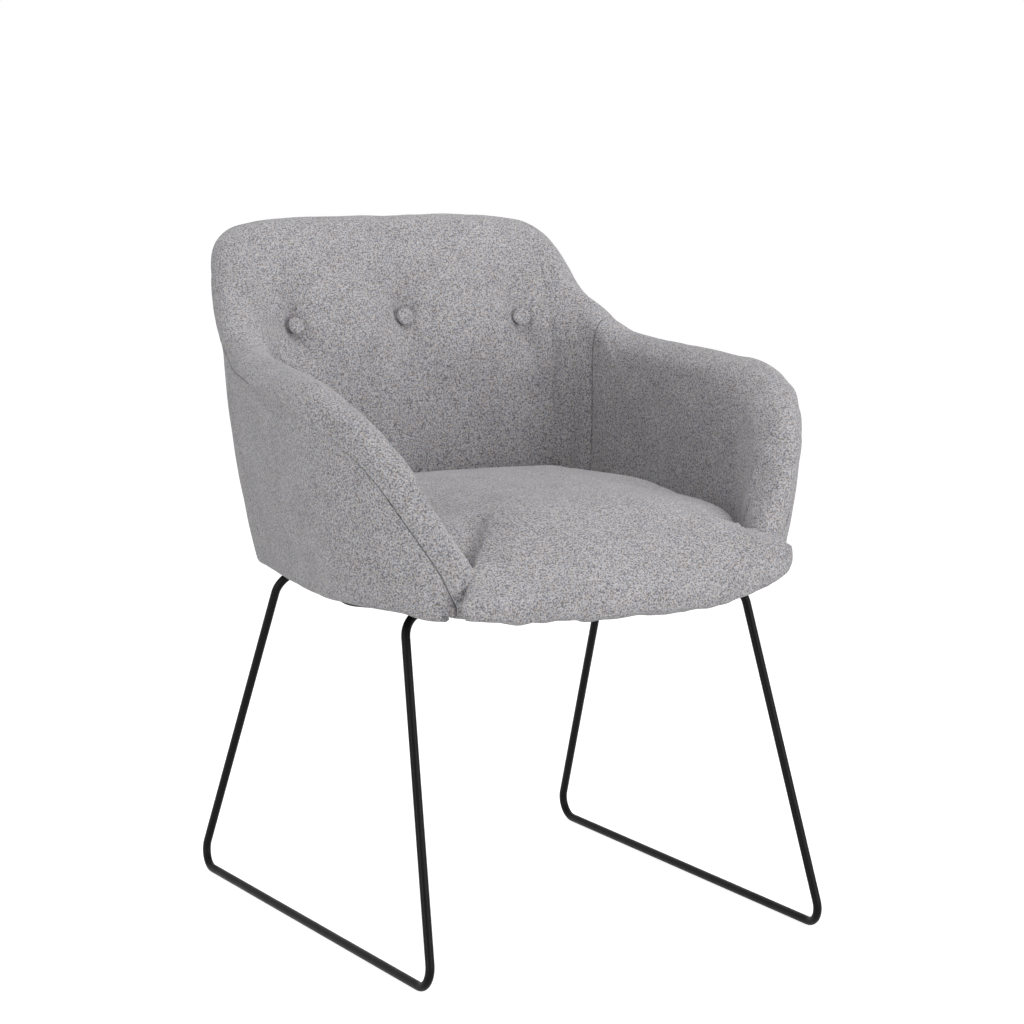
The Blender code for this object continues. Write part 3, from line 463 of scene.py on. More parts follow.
def drawn_by_buttons(place, settings):
    """How far the padding is drawn in at a place on the back."""
    reach = from_button(place)
    wide = DIMPLE_DEPTH * math.exp(-((reach / DIMPLE_REACH) ** 2))
    return wide + settings.pit * (1.0 - eased(reach, settings.diameter * PIT_SHARE, PIT_EDGE))


def folded_at(place):
    """How deep the folds are at a place on the back."""
    depth = 0.0
    buttons = dict(BUTTONS)
    for word, degrees, reach, width, most in FOLDS:
        away = place - buttons[word]
        heading = Vector((math.cos(math.radians(degrees)), math.sin(math.radians(degrees))))
        along = away.dot(heading)
        if 0.0 < along < reach:
            beside = (away - heading * along).length / (width * (FOLD_NARROW + along / reach))
            fade = smooth_step(along / FOLD_START) * (1.0 - smooth_step(along / reach))
            depth += most * fade * math.exp(-beside * beside)
    return depth


# Building with grids


def spread(total, edge_steps, spacing):
    """Shares from 0 to 1 along a length, closer together at its ends."""
    near = [step for step in edge_steps if step < total / 3]
    start = near[-1] if near else 0.0
    count = max(1, round((total - 2 * start) / spacing))
    middle = [start + (total - 2 * start) * k / count for k in range(1, count)]
    values = [0.0] + near + middle + [total - step for step in reversed(near)] + [total]
    return [value / total for value in values]


def moved_grid(mesh_data, columns, rows, point_at):
    """A grid whose vertices are moved to point_at(column number, row number). Returns its vertices by row."""
    made = bmesh.ops.create_grid(mesh_data, x_segments=columns - 1, y_segments=rows - 1, size=1.0)["verts"]
    for vert in made:
        u = round((vert.co.x + 1.0) / 2.0 * (columns - 1))
        v = round((vert.co.y + 1.0) / 2.0 * (rows - 1))
        vert.co = point_at(u, v)
    return made


def face_outwards(mesh_data):
    bmesh.ops.recalc_face_normals(mesh_data, faces=mesh_data.faces)
    if mesh_data.calc_volume(signed=True) < 0.0:
        bmesh.ops.reverse_faces(mesh_data, faces=mesh_data.faces)


def boundary_of(verts):
    found = set()
    for vert in verts:
        found.update(edge for edge in vert.link_edges if edge.is_boundary)
    return found


def closed_pad(columns, rows, outer_at, inner_at):
    """A closed form between two moved grids, bridged round their edges."""
    mesh_data = bmesh.new()
    outer = moved_grid(mesh_data, columns, rows, outer_at)
    inner = moved_grid(mesh_data, columns, rows, inner_at)
    edges = list(boundary_of(outer) | boundary_of(inner))
    bmesh.ops.bridge_loops(mesh_data, edges=edges)
    face_outwards(mesh_data)
    return mesh_data


def stacked_rings(rings, cap_last):
    """Circles moved to the rings, each bridged to the next."""
    mesh_data = bmesh.new()
    loops = []
    for number, ring in enumerate(rings, 1):
        cap = cap_last and number == len(rings)
        loops.append(bmesh.ops.create_circle(mesh_data, cap_ends=cap, radius=1.0, segments=len(ring))["verts"])
        for vert, point in zip(loops[-1], ring):
            vert.co = point
    for first, second in zip(loops, loops[1:]):
        pair = (set(first), set(second))
        edges = {e for v in first + second for e in v.link_edges if any(set(e.verts) <= loop for loop in pair)}
        bmesh.ops.bridge_loops(mesh_data, edges=list(edges))
    return mesh_data


def add_object(name, data):
    made = bpy.data.objects.new(name, data)
    bpy.context.scene.collection.objects.link(made)
    return made


def mesh_from(name, mesh_data):
    mesh = bpy.data.meshes.new(name)
    mesh_data.to_mesh(mesh)
    mesh_data.free()
    return mesh


def piece_from(name, mesh_data, finish):
    mesh = mesh_from(name, mesh_data)
    mesh.shade_smooth()
    mesh.materials.append(finish)
    made = add_object(name, mesh)
    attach(made, "root")
    return made


def in_cloth(piece, fill, *nodes):
    """Rounds a padded piece and hides the nodes that it stands in for."""
    step = piece.modifiers.new("Rounding", "SUBSURF")
    step.levels = step.render_levels = 1
    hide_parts(*nodes)


def started(settings):
    """How much smaller a padded piece is cut than it ends up."""
    return settings.cut * settings.swell


CLOTH_FRAMES = 20
CLOTH_VALUES = {
    "quality": 3, "mass": 0.25, "tension_stiffness": 8.0, "compression_stiffness": 8.0, "shear_stiffness": 4.0,
    "bending_stiffness": 0.5, "pin_stiffness": 1.0, "use_pressure": True,
}


def swollen(piece, held, settings, push=1.0, slack=0.004):
    """Lets the filling push the cloth out, with a cap on how far any point may move. Held points stay."""
    if settings.swell == 0.0:
        return
    mesh = piece.data
    start = [vert.co.copy() for vert in mesh.vertices]
    group = piece.vertex_groups.new(name="Held")
    for number, weight in enumerate(held):
        if weight > 0.0:
            group.add([number], weight, "REPLACE")
    step = piece.modifiers.new("Filling", "CLOTH")
    cloth = step.settings
    for name, value in CLOTH_VALUES.items():
        setattr(cloth, name, value)
    cloth.shrink_min = -slack
    cloth.vertex_group_mass = group.name
    cloth.uniform_pressure_force = settings.pressure * push
    cloth.effector_weights.gravity = 0.0
    step.collision_settings.use_collision = False
    step.point_cache.frame_start, step.point_cache.frame_end = 1, CLOTH_FRAMES
    scene = bpy.context.scene
    for number in range(1, CLOTH_FRAMES + 1):
        scene.frame_set(number)
    graph = bpy.context.evaluated_depsgraph_get()
    settled = piece.evaluated_get(graph).to_mesh()
    ends = [vert.co.copy() for vert in settled.vertices]
    piece.evaluated_get(graph).to_mesh_clear()
    piece.modifiers.remove(step)
    piece.vertex_groups.remove(group)
    scene.frame_set(1)
    for vert, before, after in zip(mesh.vertices, start, ends):
        move = after - before
        if move.length > 1e-9:
            move *= settings.swell * math.tanh(move.length / settings.swell) / move.length
        vert.co = before + move
    mesh.update()


def uneven(piece, most, scale, keep=None):
    """Moves points along their normals by slow noise, as filling is never quite even."""
    normals = [vert.normal.copy() for vert in piece.data.vertices]
    for number, vert in enumerate(piece.data.vertices):
        weight = 1.0 if keep is None else 1.0 - keep[number]
        lump = noise.noise(vert.co * scale) + 0.5 * noise.noise(vert.co * scale * 2.3 + Vector((7.0, 3.0, 5.0)))
        vert.co += normals[number] * (most * lump * weight)
    piece.data.update()


# Materials


def set_inputs(tree, node, values):
    """Links an input to a value that is a socket, and gives any other value to the input itself."""
    for name, value in values.items():
        if isinstance(value, bpy.types.NodeSocket):
            tree.links.new(value, node.inputs[name])
        else:
            node.inputs[name].default_value = value


def add_node(tree, kind, values):
    made = tree.nodes.new(f"ShaderNode{kind}")
    set_inputs(tree, made, values)
    return made


def new_material(name, values):
    made = bpy.data.materials.new(name)
    made.use_nodes = True
    shader = made.node_tree.nodes["Principled BSDF"]
    set_inputs(made.node_tree, shader, values)
    return made, made.node_tree, shader


def object_place(tree):
    return add_node(tree, "TexCoord", {}).outputs["Object"]


def noise_at(tree, scale, detail=2.0, roughness=0.5, offset=(0.0, 0.0, 0.0), stretch=(1.0, 1.0, 1.0)):
    place = add_node(tree, "Mapping", {"Vector": object_place(tree), "Location": offset, "Scale": stretch})
    values = {"Vector": place.outputs["Vector"], "Scale": scale, "Detail": detail, "Roughness": roughness}
    return add_node(tree, "TexNoise", values).outputs["Fac"]


def ramp(tree, value, *stops):
    made = add_node(tree, "ValToRGB", {"Fac": value})
    elements = made.color_ramp.elements
    while len(elements) < len(stops):
        elements.new(0.5)
    for element, (position, colour) in zip(elements, stops):
        element.position = position
        element.color = (*colour, 1.0)
    return made.outputs["Color"]


def mixed(tree, value, first, second, blend="MIX"):
    made = tree.nodes.new("ShaderNodeMix")
    made.data_type = "RGBA"
    made.blend_type = blend
    for socket, wanted in (("Factor", value), ("A", first), ("B", second)):
        target = next(s for s in made.inputs if s.name == socket and (s.type == "RGBA" or socket == "Factor"))
        if isinstance(wanted, bpy.types.NodeSocket):
            tree.links.new(wanted, target)
        else:
            target.default_value = wanted if socket == "Factor" else (*wanted, 1.0)
    return next(s for s in made.outputs if s.type == "RGBA")


def reckoned(tree, operation, first, second):
    made = add_node(tree, "Math", {0: first, 1: second})
    made.operation = operation
    return made.outputs[0]


def bumped(tree, shader, height, strength, distance):
    made = add_node(tree, "Bump", {"Height": height, "Strength": strength, "Distance": distance})
    set_inputs(tree, shader, {"Normal": made.outputs["Normal"]})


def grey(value):
    return (value, value, value)


def felted_cloth(settings):
    """Felted wool in several greys, with cool and warm flecks and a short nap."""
    made, tree, shader = new_material("Felted grey wool", {
        "Roughness": 0.96, "Specular IOR Level": 0.20, "Sheen Weight": settings.sheen, "Sheen Roughness": 0.55,
        "Sheen Tint": (0.92, 0.92, 0.94, 1.0),
    })
    scale = 1.0 / settings.fleck
    fleck = noise_at(tree, scale, 0.4)
    base = ramp(tree, fleck, (0.32, settings.dark), (0.50, settings.middle), (0.66, settings.light))
    hue = noise_at(tree, scale * 0.8, 0.0, 0.5, (3.1, 7.7, 1.3))
    cool = ramp(tree, hue, (0.52, grey(0.0)), (0.66, grey(1.0)))
    warm = ramp(tree, hue, (0.34, grey(1.0)), (0.46, grey(0.0)))
    base = mixed(tree, reckoned(tree, "MULTIPLY", cool, 0.38), base, settings.cool)
    base = mixed(tree, reckoned(tree, "MULTIPLY", warm, 0.34), base, settings.warm)
    patch = ramp(tree, noise_at(tree, 26.0, 3.0, 0.6, (1.9, 4.1, 8.3)), (0.30, grey(0.93)), (0.70, grey(1.07)))
    set_inputs(tree, shader, {"Base Color": mixed(tree, 1.0, base, patch, "MULTIPLY")})
    fuzz = noise_at(tree, scale * 2.1, 2.0, 0.6, (5.0, 2.0, 9.0))
    bumped(tree, shader, fuzz, 0.45, settings.nap)
    return made


def mottled(name, values, grain, tones, rough=None, bump=None):
    """A material between two tones. `rough` and `bump` start with the noise that they follow."""
    made, tree, shader = new_material(name, values)
    set_inputs(tree, shader, {"Base Color": ramp(tree, noise_at(tree, *grain), *tones)})
    if rough:
        set_inputs(tree, shader, {"Roughness": ramp(tree, noise_at(tree, *rough[0]), *rough[1:])})
    if bump:
        bumped(tree, shader, noise_at(tree, *bump[0]), *bump[1:])
    return made


def powder_coat(settings):
    paler = tuple(value * 1.8 + 0.001 for value in settings.colour)
    return mottled(
        "Black powder coat", {"Specular IOR Level": 0.10}, (900.0,), ((0.35, settings.colour), (0.75, paler)),
        ((60.0, 3.0, 0.6), (0.3, grey(0.36)), (0.7, grey(0.47))), ((1400.0,), 0.20, 0.0002),
    )


def zinc_plate():
    return mottled(
        "Zinc plate", {"Metallic": 1.0}, (220.0, 4.0, 0.6), ((0.3, (0.52, 0.53, 0.55)), (0.7, (0.72, 0.72, 0.70))),
        ((500.0, 3.0), (0.3, grey(0.28)), (0.7, grey(0.45))),
    )


def moulded_core():
    return mottled(
        "Moulded core", {"Roughness": 0.62}, (140.0, 3.0), ((0.3, grey(0.055)), (0.7, grey(0.085))),
        bump=((800.0,), 0.3, 0.0002),
    )


def waxed_twine():
    return mottled(
        "Waxed twine", {"Roughness": 0.75}, (900.0, 3.0), ((0.3, (0.20, 0.18, 0.16)), (0.7, (0.42, 0.39, 0.35))),
        bump=((1600.0,), 0.5, 0.0002),
    )


def birch_plywood():
    made, tree, shader = new_material("Birch plywood", {"Roughness": 0.72})
    grain = noise_at(tree, 60.0, 5.0, 0.6, stretch=(1.0, 0.08, 1.0))
    base = ramp(tree, grain, (0.30, (0.42, 0.27, 0.15)), (0.70, (0.66, 0.49, 0.31)))
    plies = add_node(tree, "TexWave", {"Vector": object_place(tree), "Scale": 220.0})
    plies.bands_direction = "Z"
    shade = ramp(tree, plies.outputs["Fac"], (0.0, grey(0.80)), (1.0, grey(1.0)))
    set_inputs(tree, shader, {"Base Color": mixed(tree, 1.0, base, shade, "MULTIPLY")})
    bumped(tree, shader, grain, 0.25, 0.0003)
    return made


def spunbond_cloth():
    """Thin black cloth with the fine pressed dots of a non-woven."""
    made, tree, shader = new_material("Black dust cloth", {"Roughness": 0.88, "Sheen Weight": 0.15})
    dots = add_node(tree, "TexVoronoi", {"Vector": object_place(tree), "Scale": 700.0, "Randomness": 0.25})
    far = dots.outputs["Distance"]
    set_inputs(tree, shader, {"Base Color": ramp(tree, far, (0.0, grey(0.026)), (0.6, grey(0.012)))})
    bumped(tree, shader, far, 0.35, 0.0003)
    return made


def finish(name, *settings):
    """The material of this name, made once."""
    makers = {
        "Felted grey wool": felted_cloth,
        "Black powder coat": powder_coat,
        "Zinc plate": zinc_plate,
        "Birch plywood": birch_plywood,
        "Moulded core": moulded_core,
        "Waxed twine": waxed_twine,
        "Black dust cloth": spunbond_cloth,
    }
    return bpy.data.materials.get(name) or makers[name](*settings)


def wool():
    return finish("Felted grey wool", bpy.context.scene.armchair_cloth)


# Padding of the back and arms


# Rows near an edge, over the rim and across the band, as distances and shares
EDGE_STEPS = (0.0005, 0.0012, 0.0022, 0.0040)
FOOT_STEPS = EDGE_STEPS + (0.006, 0.0085)
RIM_STEPS = 15
BAND_ROWS = (0.35, 0.60, 0.80, 0.93, 1.0)

# Fullness and hold of the pads
CORNER_SPREAD = 0.034
ARM_FULL_EASE = (0.34, 0.58)
ARM_FULL_POWER = 1.2
INSIDE_LUMPS = 22.0
OUTSIDE_LUMPS = 18.0
HELD_ROWS = 3
HELD_EDGE = 0.0045
HELD_BAND = 0.75
HELD_BUTTON = 0.012
HELD_FOLD = 0.0015
PANEL_SPACING = 1.2
PANEL_FULL = 0.0012
PANEL_FULL_SHARE = 1.02
PANEL_FULL_POWER = 0.8
PANEL_BULGE = 0.0025
BULGE_EASE = (0.42, 0.22)
SAG_EASE = (0.52, 0.06)

# How far the cloth is drawn down at each arm's front tip, as a share of the setting, and where
TIP_SHARE = {-1.0: 1.0, 1.0: 0.4}
TIP_EASE = (0.225, 0.040)
TIP_FALL_EASE = (-0.450, 0.040)
TIP_HEM = 0.4087
TIP_HEM_SHARE = 0.55


def turned_in(distance, radius):
    """How far a surface has turned in at this distance from its edge."""
    if distance >= radius:
        return 0.0
    return radius - math.sqrt(radius * radius - (radius - distance) ** 2)


def marks_between(first, last, spacing):
    return [first + (last - first) * value for value in spread(last - first, EDGE_STEPS, spacing)]


def inside_sections(columns, spacing):
    """Rows of an inside pad: up the inner face, over the rim and down to the outer seam."""
    reach = max((column.foot - column.top).length for column in columns)
    rows = [("face", 1.0 - value) for value in spread(reach, EDGE_STEPS, spacing)[:-1]]
    rows += [("rim", k / RIM_STEPS) for k in range(RIM_STEPS + 1)]
    rows += [("band", value) for value in BAND_ROWS]
    return rows


def on_back(column, place):
    return Vector((column.side * place.x, place.y))


def section_point(column, row, depth, settings, buttons=None):
    """A point of an inside pad's section, this deep from the wall's middle surface before its edges turn in."""
    kind, value = row
    if kind == "rim":
        angle = math.pi * value
        return column.point(column.at_drop(column.half - depth * math.sin(angle)), -depth * math.cos(angle))
    if kind == "band":
        place = column.at_drop(column.half + (column.band - column.half) * value)
        return column.point(place, depth - turned_in((column.band - column.half) * (1.0 - value), settings.seam))
    place = column.at_row(value)
    inset = turned_in((place - column.foot).length, settings.hem)
    if buttons:
        inset += drawn_by_buttons(on_back(column, place), buttons)
        inset += folded_at(on_back(column, place))
    return column.point(place, inset - depth)


def held_points(piece, columns, rows, held_at):
    """How firmly each point of a pad is held, from 0 to 1. The hidden side stays."""
    across, seen = len(columns), len(columns) * len(rows)
    return [held_at(k % across, k // across) if k < seen else 1.0 for k in range(len(piece.data.vertices))]


def inside_pad(name, columns, edges, settings, buttons):
    """Padding and cloth of an inner face and its rim. `edges` gives each column's distance from a side seam."""
    rows = inside_sections(columns, settings.spacing)
    start = started(settings)

    def outer_at(u, v):
        column = columns[u]
        if buttons:
            full = -settings.corner * math.exp(-(((column.mark - CORNER_MARK) / CORNER_SPREAD) ** 2))
        else:
            along = eased(column.mark / RIM_PATH.length, *ARM_FULL_EASE)
            full = settings.front * math.sin(math.pi * along) ** ARM_FULL_POWER
        depth = column.half - start + full - turned_in(edges[u], settings.seam)
        return section_point(column, rows[v], depth, settings, buttons)

    def inner_at(u, v):
        return section_point(columns[u], rows[v], PAD_INNER, NO_TURN)

    def held_at(u, v):
        kind, value = rows[v]
        if edges[u] < HELD_EDGE or v < HELD_ROWS or (kind == "band" and value > HELD_BAND):
            return 1.0
        if not buttons or kind != "face":
            return 0.0
        place = on_back(columns[u], columns[u].at_row(value))
        near = 1.0 - eased(from_button(place), buttons.diameter, HELD_BUTTON)
        return max(near, min(1.0, folded_at(place) / HELD_FOLD))

    piece = piece_from(name, closed_pad(len(columns), len(rows), outer_at, inner_at), wool())
    held = held_points(piece, columns, rows, held_at)
    swollen(piece, held, settings)
    uneven(piece, settings.lumps, INSIDE_LUMPS, held)
    return piece


def reached_down(piece, most):
    """Draws the cloth at the front tip of an arm down to the seat's lower edge, and less at its hem."""
    for vert in piece.data.vertices:
        down = most * eased(-vert.co.z, *TIP_FALL_EASE) - TIP_HEM_SHARE * max(0.0, TIP_HEM - vert.co.z)
        vert.co.z -= eased(-vert.co.y, *TIP_EASE) * max(0.0, down)
    piece.data.update()


# Settings of the hidden side, which has no rolled edges
NO_TURN = SimpleNamespace(seam=0.0, hem=0.0)


def outside_panel(name, columns, edges, settings, bulge=0.0):
    """Padding and cloth of an outer face, from the seam to the foot, where it turns under."""
    reach = max((column.foot - column.top).length for column in columns)
    rows = spread(reach, FOOT_STEPS, settings.spacing * PANEL_SPACING)

    def place_of(column, row):
        """A place on the panel, and its distances from the turned foot and from the seam."""
        top = column.at_drop(column.band + GAP)
        sag = settings.sag * (1.0 - eased(column.foot.x, *SAG_EASE))
        under = Vector((column.foot.x, FOOT_HEIGHT - sag))
        along = (column.foot - top).length
        full = along + (column.foot - under).length
        drop = row * full
        if drop > along:
            return column.foot.lerp(under, (drop - along) / (full - along)), full - drop, drop
        return column.at_row(drop / along) if row > 0.0 else top, full - drop, drop

    def outer_at(u, v):
        column = columns[u]
        place, to_foot, from_top = place_of(column, rows[v])
        inset = turned_in(from_top, settings.seam) + turned_in(to_foot, settings.hem)
        inset += turned_in(edges[u], settings.seam)
        full = math.sin(math.pi * min(1.0, rows[v] * PANEL_FULL_SHARE)) ** PANEL_FULL_POWER
        fuller = bulge * eased(place.x, *BULGE_EASE) + PANEL_FULL
        return column.point(place, column.half + fuller * full - inset)

    def inner_at(u, v):
        return columns[u].point(place_of(columns[u], rows[v])[0], PAD_INNER)

    def held_at(u, v):
        return 1.0 if edges[u] < HELD_EDGE or v <= HELD_ROWS else 0.0

    piece = piece_from(name, closed_pad(len(columns), len(rows), outer_at, inner_at), wool())
    uneven(piece, settings.lumps, OUTSIDE_LUMPS, held_points(piece, columns, rows, held_at))
    return piece


def back_columns(spacing):
    marks = marks_between(-SEAM_MARK, SEAM_MARK, spacing)
    columns = [Column(abs(mark), -1.0 if mark < 0.0 else 1.0) for mark in marks]
    return columns, [SEAM_MARK - abs(mark) for mark in marks]


def arm_columns(side, spacing):
    marks = marks_between(SEAM_MARK + GAP, RIM_PATH.length, spacing)
    edges = [min(mark - SEAM_MARK - GAP, RIM_PATH.length - mark) for mark in marks]
    pairs = [(Column(mark, side), edge) for mark, edge in zip(marks, edges)]
    if side < 0.0:
        pairs.reverse()
    return [column for column, _ in pairs], [edge for _, edge in pairs]


class ARMCHAIR_OT_back(bpy.types.Operator):
    """Pad the back: its inner face and rim, and the panel behind it"""

    bl_idname = "armchair.back"
    bl_label = "Back Padding"

    def execute(self, context):
        settings = context.scene.armchair_padding
        columns, edges = back_columns(settings.spacing)
        inside = inside_pad("back_padding", columns, edges, settings, context.scene.armchair_buttons)
        in_cloth(inside, 0.85, "inside_back_cover", "back_foam")
        outside = outside_panel("back_outside_panel", columns, edges, settings)
        in_cloth(outside, 0.8, "outside_back_cover", "outside_back_foam")
        return {"FINISHED"}


class ARMCHAIR_OT_arms(bpy.types.Operator):
    """Pad both arms: inner faces with their rims, and the outer panels"""

    bl_idname = "armchair.arms"
    bl_label = "Arm Padding"

    def execute(self, context):
        settings = context.scene.armchair_padding
        for side, word in SIDES:
            columns, edges = arm_columns(side, settings.spacing)
            inside = inside_pad(f"arm_padding_{word}", columns, edges, settings, None)
            outside = outside_panel(f"arm_outside_panel_{word}", columns, edges, settings, PANEL_BULGE)
            for piece in (inside, outside):
                reached_down(piece, settings.tip * TIP_SHARE[side])
            in_cloth(inside, 0.85, f"inside_arm_cover_{word}", f"arm_foam_{word}")
            in_cloth(outside, 0.8, f"outside_arm_cover_{word}", f"outside_arm_foam_{word}")
        return {"FINISHED"}


# The seat cushion


def side_of(x):
    return -1.0 if x < 0.0 else 1.0


def seat_fall(x, y):
    """How far the top has come down towards the front, less so beside the shoulder that stands high."""
    reach = (SEAT_FALL_START - y) / (SEAT_FALL_START - SEAT_FRONT)
    beside = eased(abs(x), *BESIDE_EASE)
    kept = 1.0 + (FALL_KEPT[side_of(x)] - 1.0) * beside
    return kept * SEAT_FALL * max(0.0, reach) ** SEAT_FALL_POWER + SIDE_FALL * beside * eased(-y, *SIDE_FALL_EASE)


def seat_levels(point):
    """Heights of the lower edge and of the widest line at a point of the outline."""
    side = side_of(point.x)
    front = eased(-point.y, *FRONT_EASE)
    climb, reach, late = LIP_CLIMB[side]
    lip = SEAT_LIP + front * climb * (abs(point.x) / reach) ** late
    return lip, SEAT_WIDEST + front * WIDEST_CLIMB[side] * eased(abs(point.x), *SHOULDER_EASE)


def along_wall(side, run, reach):
    """A step of this size along the wall's plan, towards the front."""
    normal = plan(run)[1]
    return Vector((side * normal.y, -normal.x, 0.0)) * reach


def half_outline(side, height):
    """Half of the cushion's outline: along the wall, round the foot of the arm to a shoulder, and across the front."""
    points = []
    along, round_foot, across = SEAT_STEPS
    for k in range(along + 1):
        run = SEAT_LAST_RUN * k / along
        gap = SIDE_GAP[side] * eased(run, *GAP_EASE) * eased(height, SEAT_WIDEST, GAP_RISE)
        points.append(wall(side * run, height, -half_thickness(run) - (SEAT_CLEARANCE + gap)))
    start = points[-1]
    out, back, pull = SHOULDERS[side]
    corner = Vector((side * (abs(start.x) + out), SEAT_FRONT + back, height))
    middle = Vector((0.0, SEAT_FRONT, height))
    ahead = start + along_wall(side, SEAT_LAST_RUN, pull)
    arriving = corner + Vector((side * SHOULDER_IN[0], SHOULDER_IN[1], 0.0))
    leaving = corner + Vector((side * SHOULDER_OUT[0], SHOULDER_OUT[1], 0.0))
    bow = middle + Vector((side * SHOULDER_BOW, 0.0, 0.0))
    points += [bezier(start, ahead, arriving, corner, k / round_foot) for k in range(1, round_foot + 1)]
    for k in range(1, across + 1):
        points.append(bezier(corner, leaving, bow, middle, (k / across) ** SEAT_CURVE_POWER))
    return points


def seat_outline(height):
    return half_outline(1.0, height) + half_outline(-1.0, height)[-2:0:-1]


def seat_ring(turn, inset):
    """A ring of the cushion's upper side, from its widest line (0 degrees) towards its middle (90 degrees)."""
    ring = []
    for first, second in zip(seat_outline(SEAT_WIDEST), seat_outline(SEAT_TOP)):
        side = side_of(first.x)
        soft = eased(-first.y, *SOFT_EASE[side])
        power = 2.0 / (SIDE_BOXINESS + (FRONT_BOXINESS[side] - SIDE_BOXINESS) * soft)
        width = max(0.0, math.cos(turn)) ** power
        rise = math.sin(turn) ** power
        edge = first.lerp(second, rise * (1.0 - eased(-first.y, *UPRIGHT_EASE)))
        x, y = edge.x * width, SEAT_CENTRE + (edge.y - SEAT_CENTRE) * width
        top = SEAT_TOP - inset + SEAT_CROWN * (1.0 - width**CROWN_POWER) - seat_fall(x, y)
        widest = seat_levels(first)[1]
        ring.append(Vector((x, y, widest + (top - widest) * rise)))
    return ring


# Rings of the cushion's lower side: how wide, and how far down from the underside (0) to the lower edge (1) or
# back up to the widest line (2)
LOWER_RINGS = (
    (0.30, 0.0), (0.80, 0.0), (0.865, 0.45), (0.905, 0.90), (0.940, 1.00), (0.964, 1.06), (0.983, 1.20), (0.995, 1.50),
)


def lower_ring(width, level):
    ring = []
    for point in seat_outline(SEAT_WIDEST):
        lip, widest = seat_levels(point)
        height = PAD_FOOT + (lip - PAD_FOOT) * min(1.0, level) + (widest - lip) * max(0.0, level - 1.0)
        ring.append(Vector((point.x * width, SEAT_CENTRE + (point.y - SEAT_CENTRE) * width, height)))
    return ring


def seat_form(inset):
    """The cushion as stacked rings, closed with a cap at each end."""
    rings = [lower_ring(*ring) for ring in LOWER_RINGS]
    rings += [seat_ring(math.radians(degrees), inset) for degrees in SEAT_TURNS]
    mesh_data = stacked_rings(rings, False)
    bmesh.ops.holes_fill(mesh_data, edges=mesh_data.edges, sides=0)
    face_outwards(mesh_data)
    return mesh_data


def puckered(piece):
    """Small puckers where the seat cloth is pulled under the front edge."""
    for vert in piece.data.vertices:
        if vert.co.z < PUCKER_TOP and vert.co.y < PUCKER_REAR:
            place = Vector((vert.co.x * PUCKER_PITCH[0], vert.co.y * PUCKER_PITCH[1], PUCKER_SEED))
            wave, low = noise.noise(place), 1.0 - eased(vert.co.z, *PUCKER_EASE)
            vert.co.z += PUCKER_DROP * wave * low
            vert.co.y -= PUCKER_OUT * wave * low


class ARMCHAIR_OT_seat(bpy.types.Operator):
    """Make the crowned seat cushion with its soft front edge"""

    bl_idname = "armchair.seat"
    bl_label = "Seat Cushion"

    def execute(self, context):
        settings = context.scene.armchair_padding
        piece = piece_from("seat_cushion", seat_form(started(settings)), wool())
        remesh = piece.modifiers.new("Even", "REMESH")
        remesh.mode = "VOXEL"
        remesh.voxel_size = SEAT_VOXEL
        remesh.use_smooth_shade = True
        even = bpy.data.meshes.new_from_object(piece.evaluated_get(context.evaluated_depsgraph_get()))
        piece.modifiers.remove(remesh)
        rough = piece.data
        piece.data = even
        bpy.data.meshes.remove(rough)
        even.name = "seat_cushion"
        even.materials.clear()
        even.materials.append(wool())
        held = [1.0 if vert.co.z < PAD_FOOT + SEAT_HELD else 0.0 for vert in even.vertices]
        swollen(piece, held, settings, SEAT_PUSH, SEAT_SLACK)
        uneven(piece, settings.lumps, SEAT_LUMPS, held)
        puckered(piece)
        in_cloth(piece, 0.7, "seat_cover", "seat_foam")
        return {"FINISHED"}


# Buttons


def spun(profile, steps, place):
    """A closed form spun round the Z axis of `place` from (radius, height) points that start and end on it."""
    mesh_data = bmesh.new()
    verts = [mesh_data.verts.new((radius, 0.0, height)) for radius, height in profile]
    edges = [mesh_data.edges.new(pair) for pair in zip(verts, verts[1:])]
    bmesh.ops.spin(
        mesh_data, geom=verts + edges, cent=(0.0, 0.0, 0.0), axis=(0.0, 0.0, 1.0), dvec=(0.0, 0.0, 0.0),
        angle=math.tau, steps=steps, use_merge=True,
    )
    bmesh.ops.remove_doubles(mesh_data, verts=mesh_data.verts, dist=MERGED)
    mesh_data.transform(place)
    face_outwards(mesh_data)
    return mesh_data


class ARMCHAIR_OT_buttons(bpy.types.Operator):
    """Make the three covered buttons"""

    bl_idname = "armchair.buttons"
    bl_label = "Covered Buttons"

    def execute(self, context):
        settings = context.scene.armchair_buttons
        radius = settings.diameter / 2
        back = DIMPLE_DEPTH + settings.pit - BACK_THICKNESS / 2 + BUTTON_SINK
        edge = DIMPLE_DEPTH - BACK_THICKNESS / 2 - settings.proud
        foot, rise = BUTTON_FOOT
        profile = [(0.0, back), (radius * foot, back - rise), (radius * BUTTON_WAIST, (back + edge) / 2)]
        for degrees in BUTTON_TURNS:
            angle = math.radians(degrees)
            profile.append((radius * math.cos(angle) ** BUTTON_ROUNDNESS, edge - settings.dome * math.sin(angle)))
        profile.append((0.0, edge - settings.dome))
        for word, button in BUTTONS:
            start = wall(button.x, button.y, 0.0)
            turn = (wall(button.x, button.y, CORE_FACE) - start).to_track_quat("Z", "Y").to_matrix().to_4x4()
            mesh_data = spun(profile, BUTTON_STEPS, Matrix.Translation(start) @ turn)
            piece = piece_from(f"covered_button_{word}", mesh_data, wool())
            uneven(piece, *BUTTON_LUMPS)
            in_cloth(piece, 1.0, f"back_button_{word}")
        return {"FINISHED"}


# The sled base and what the cloth hides


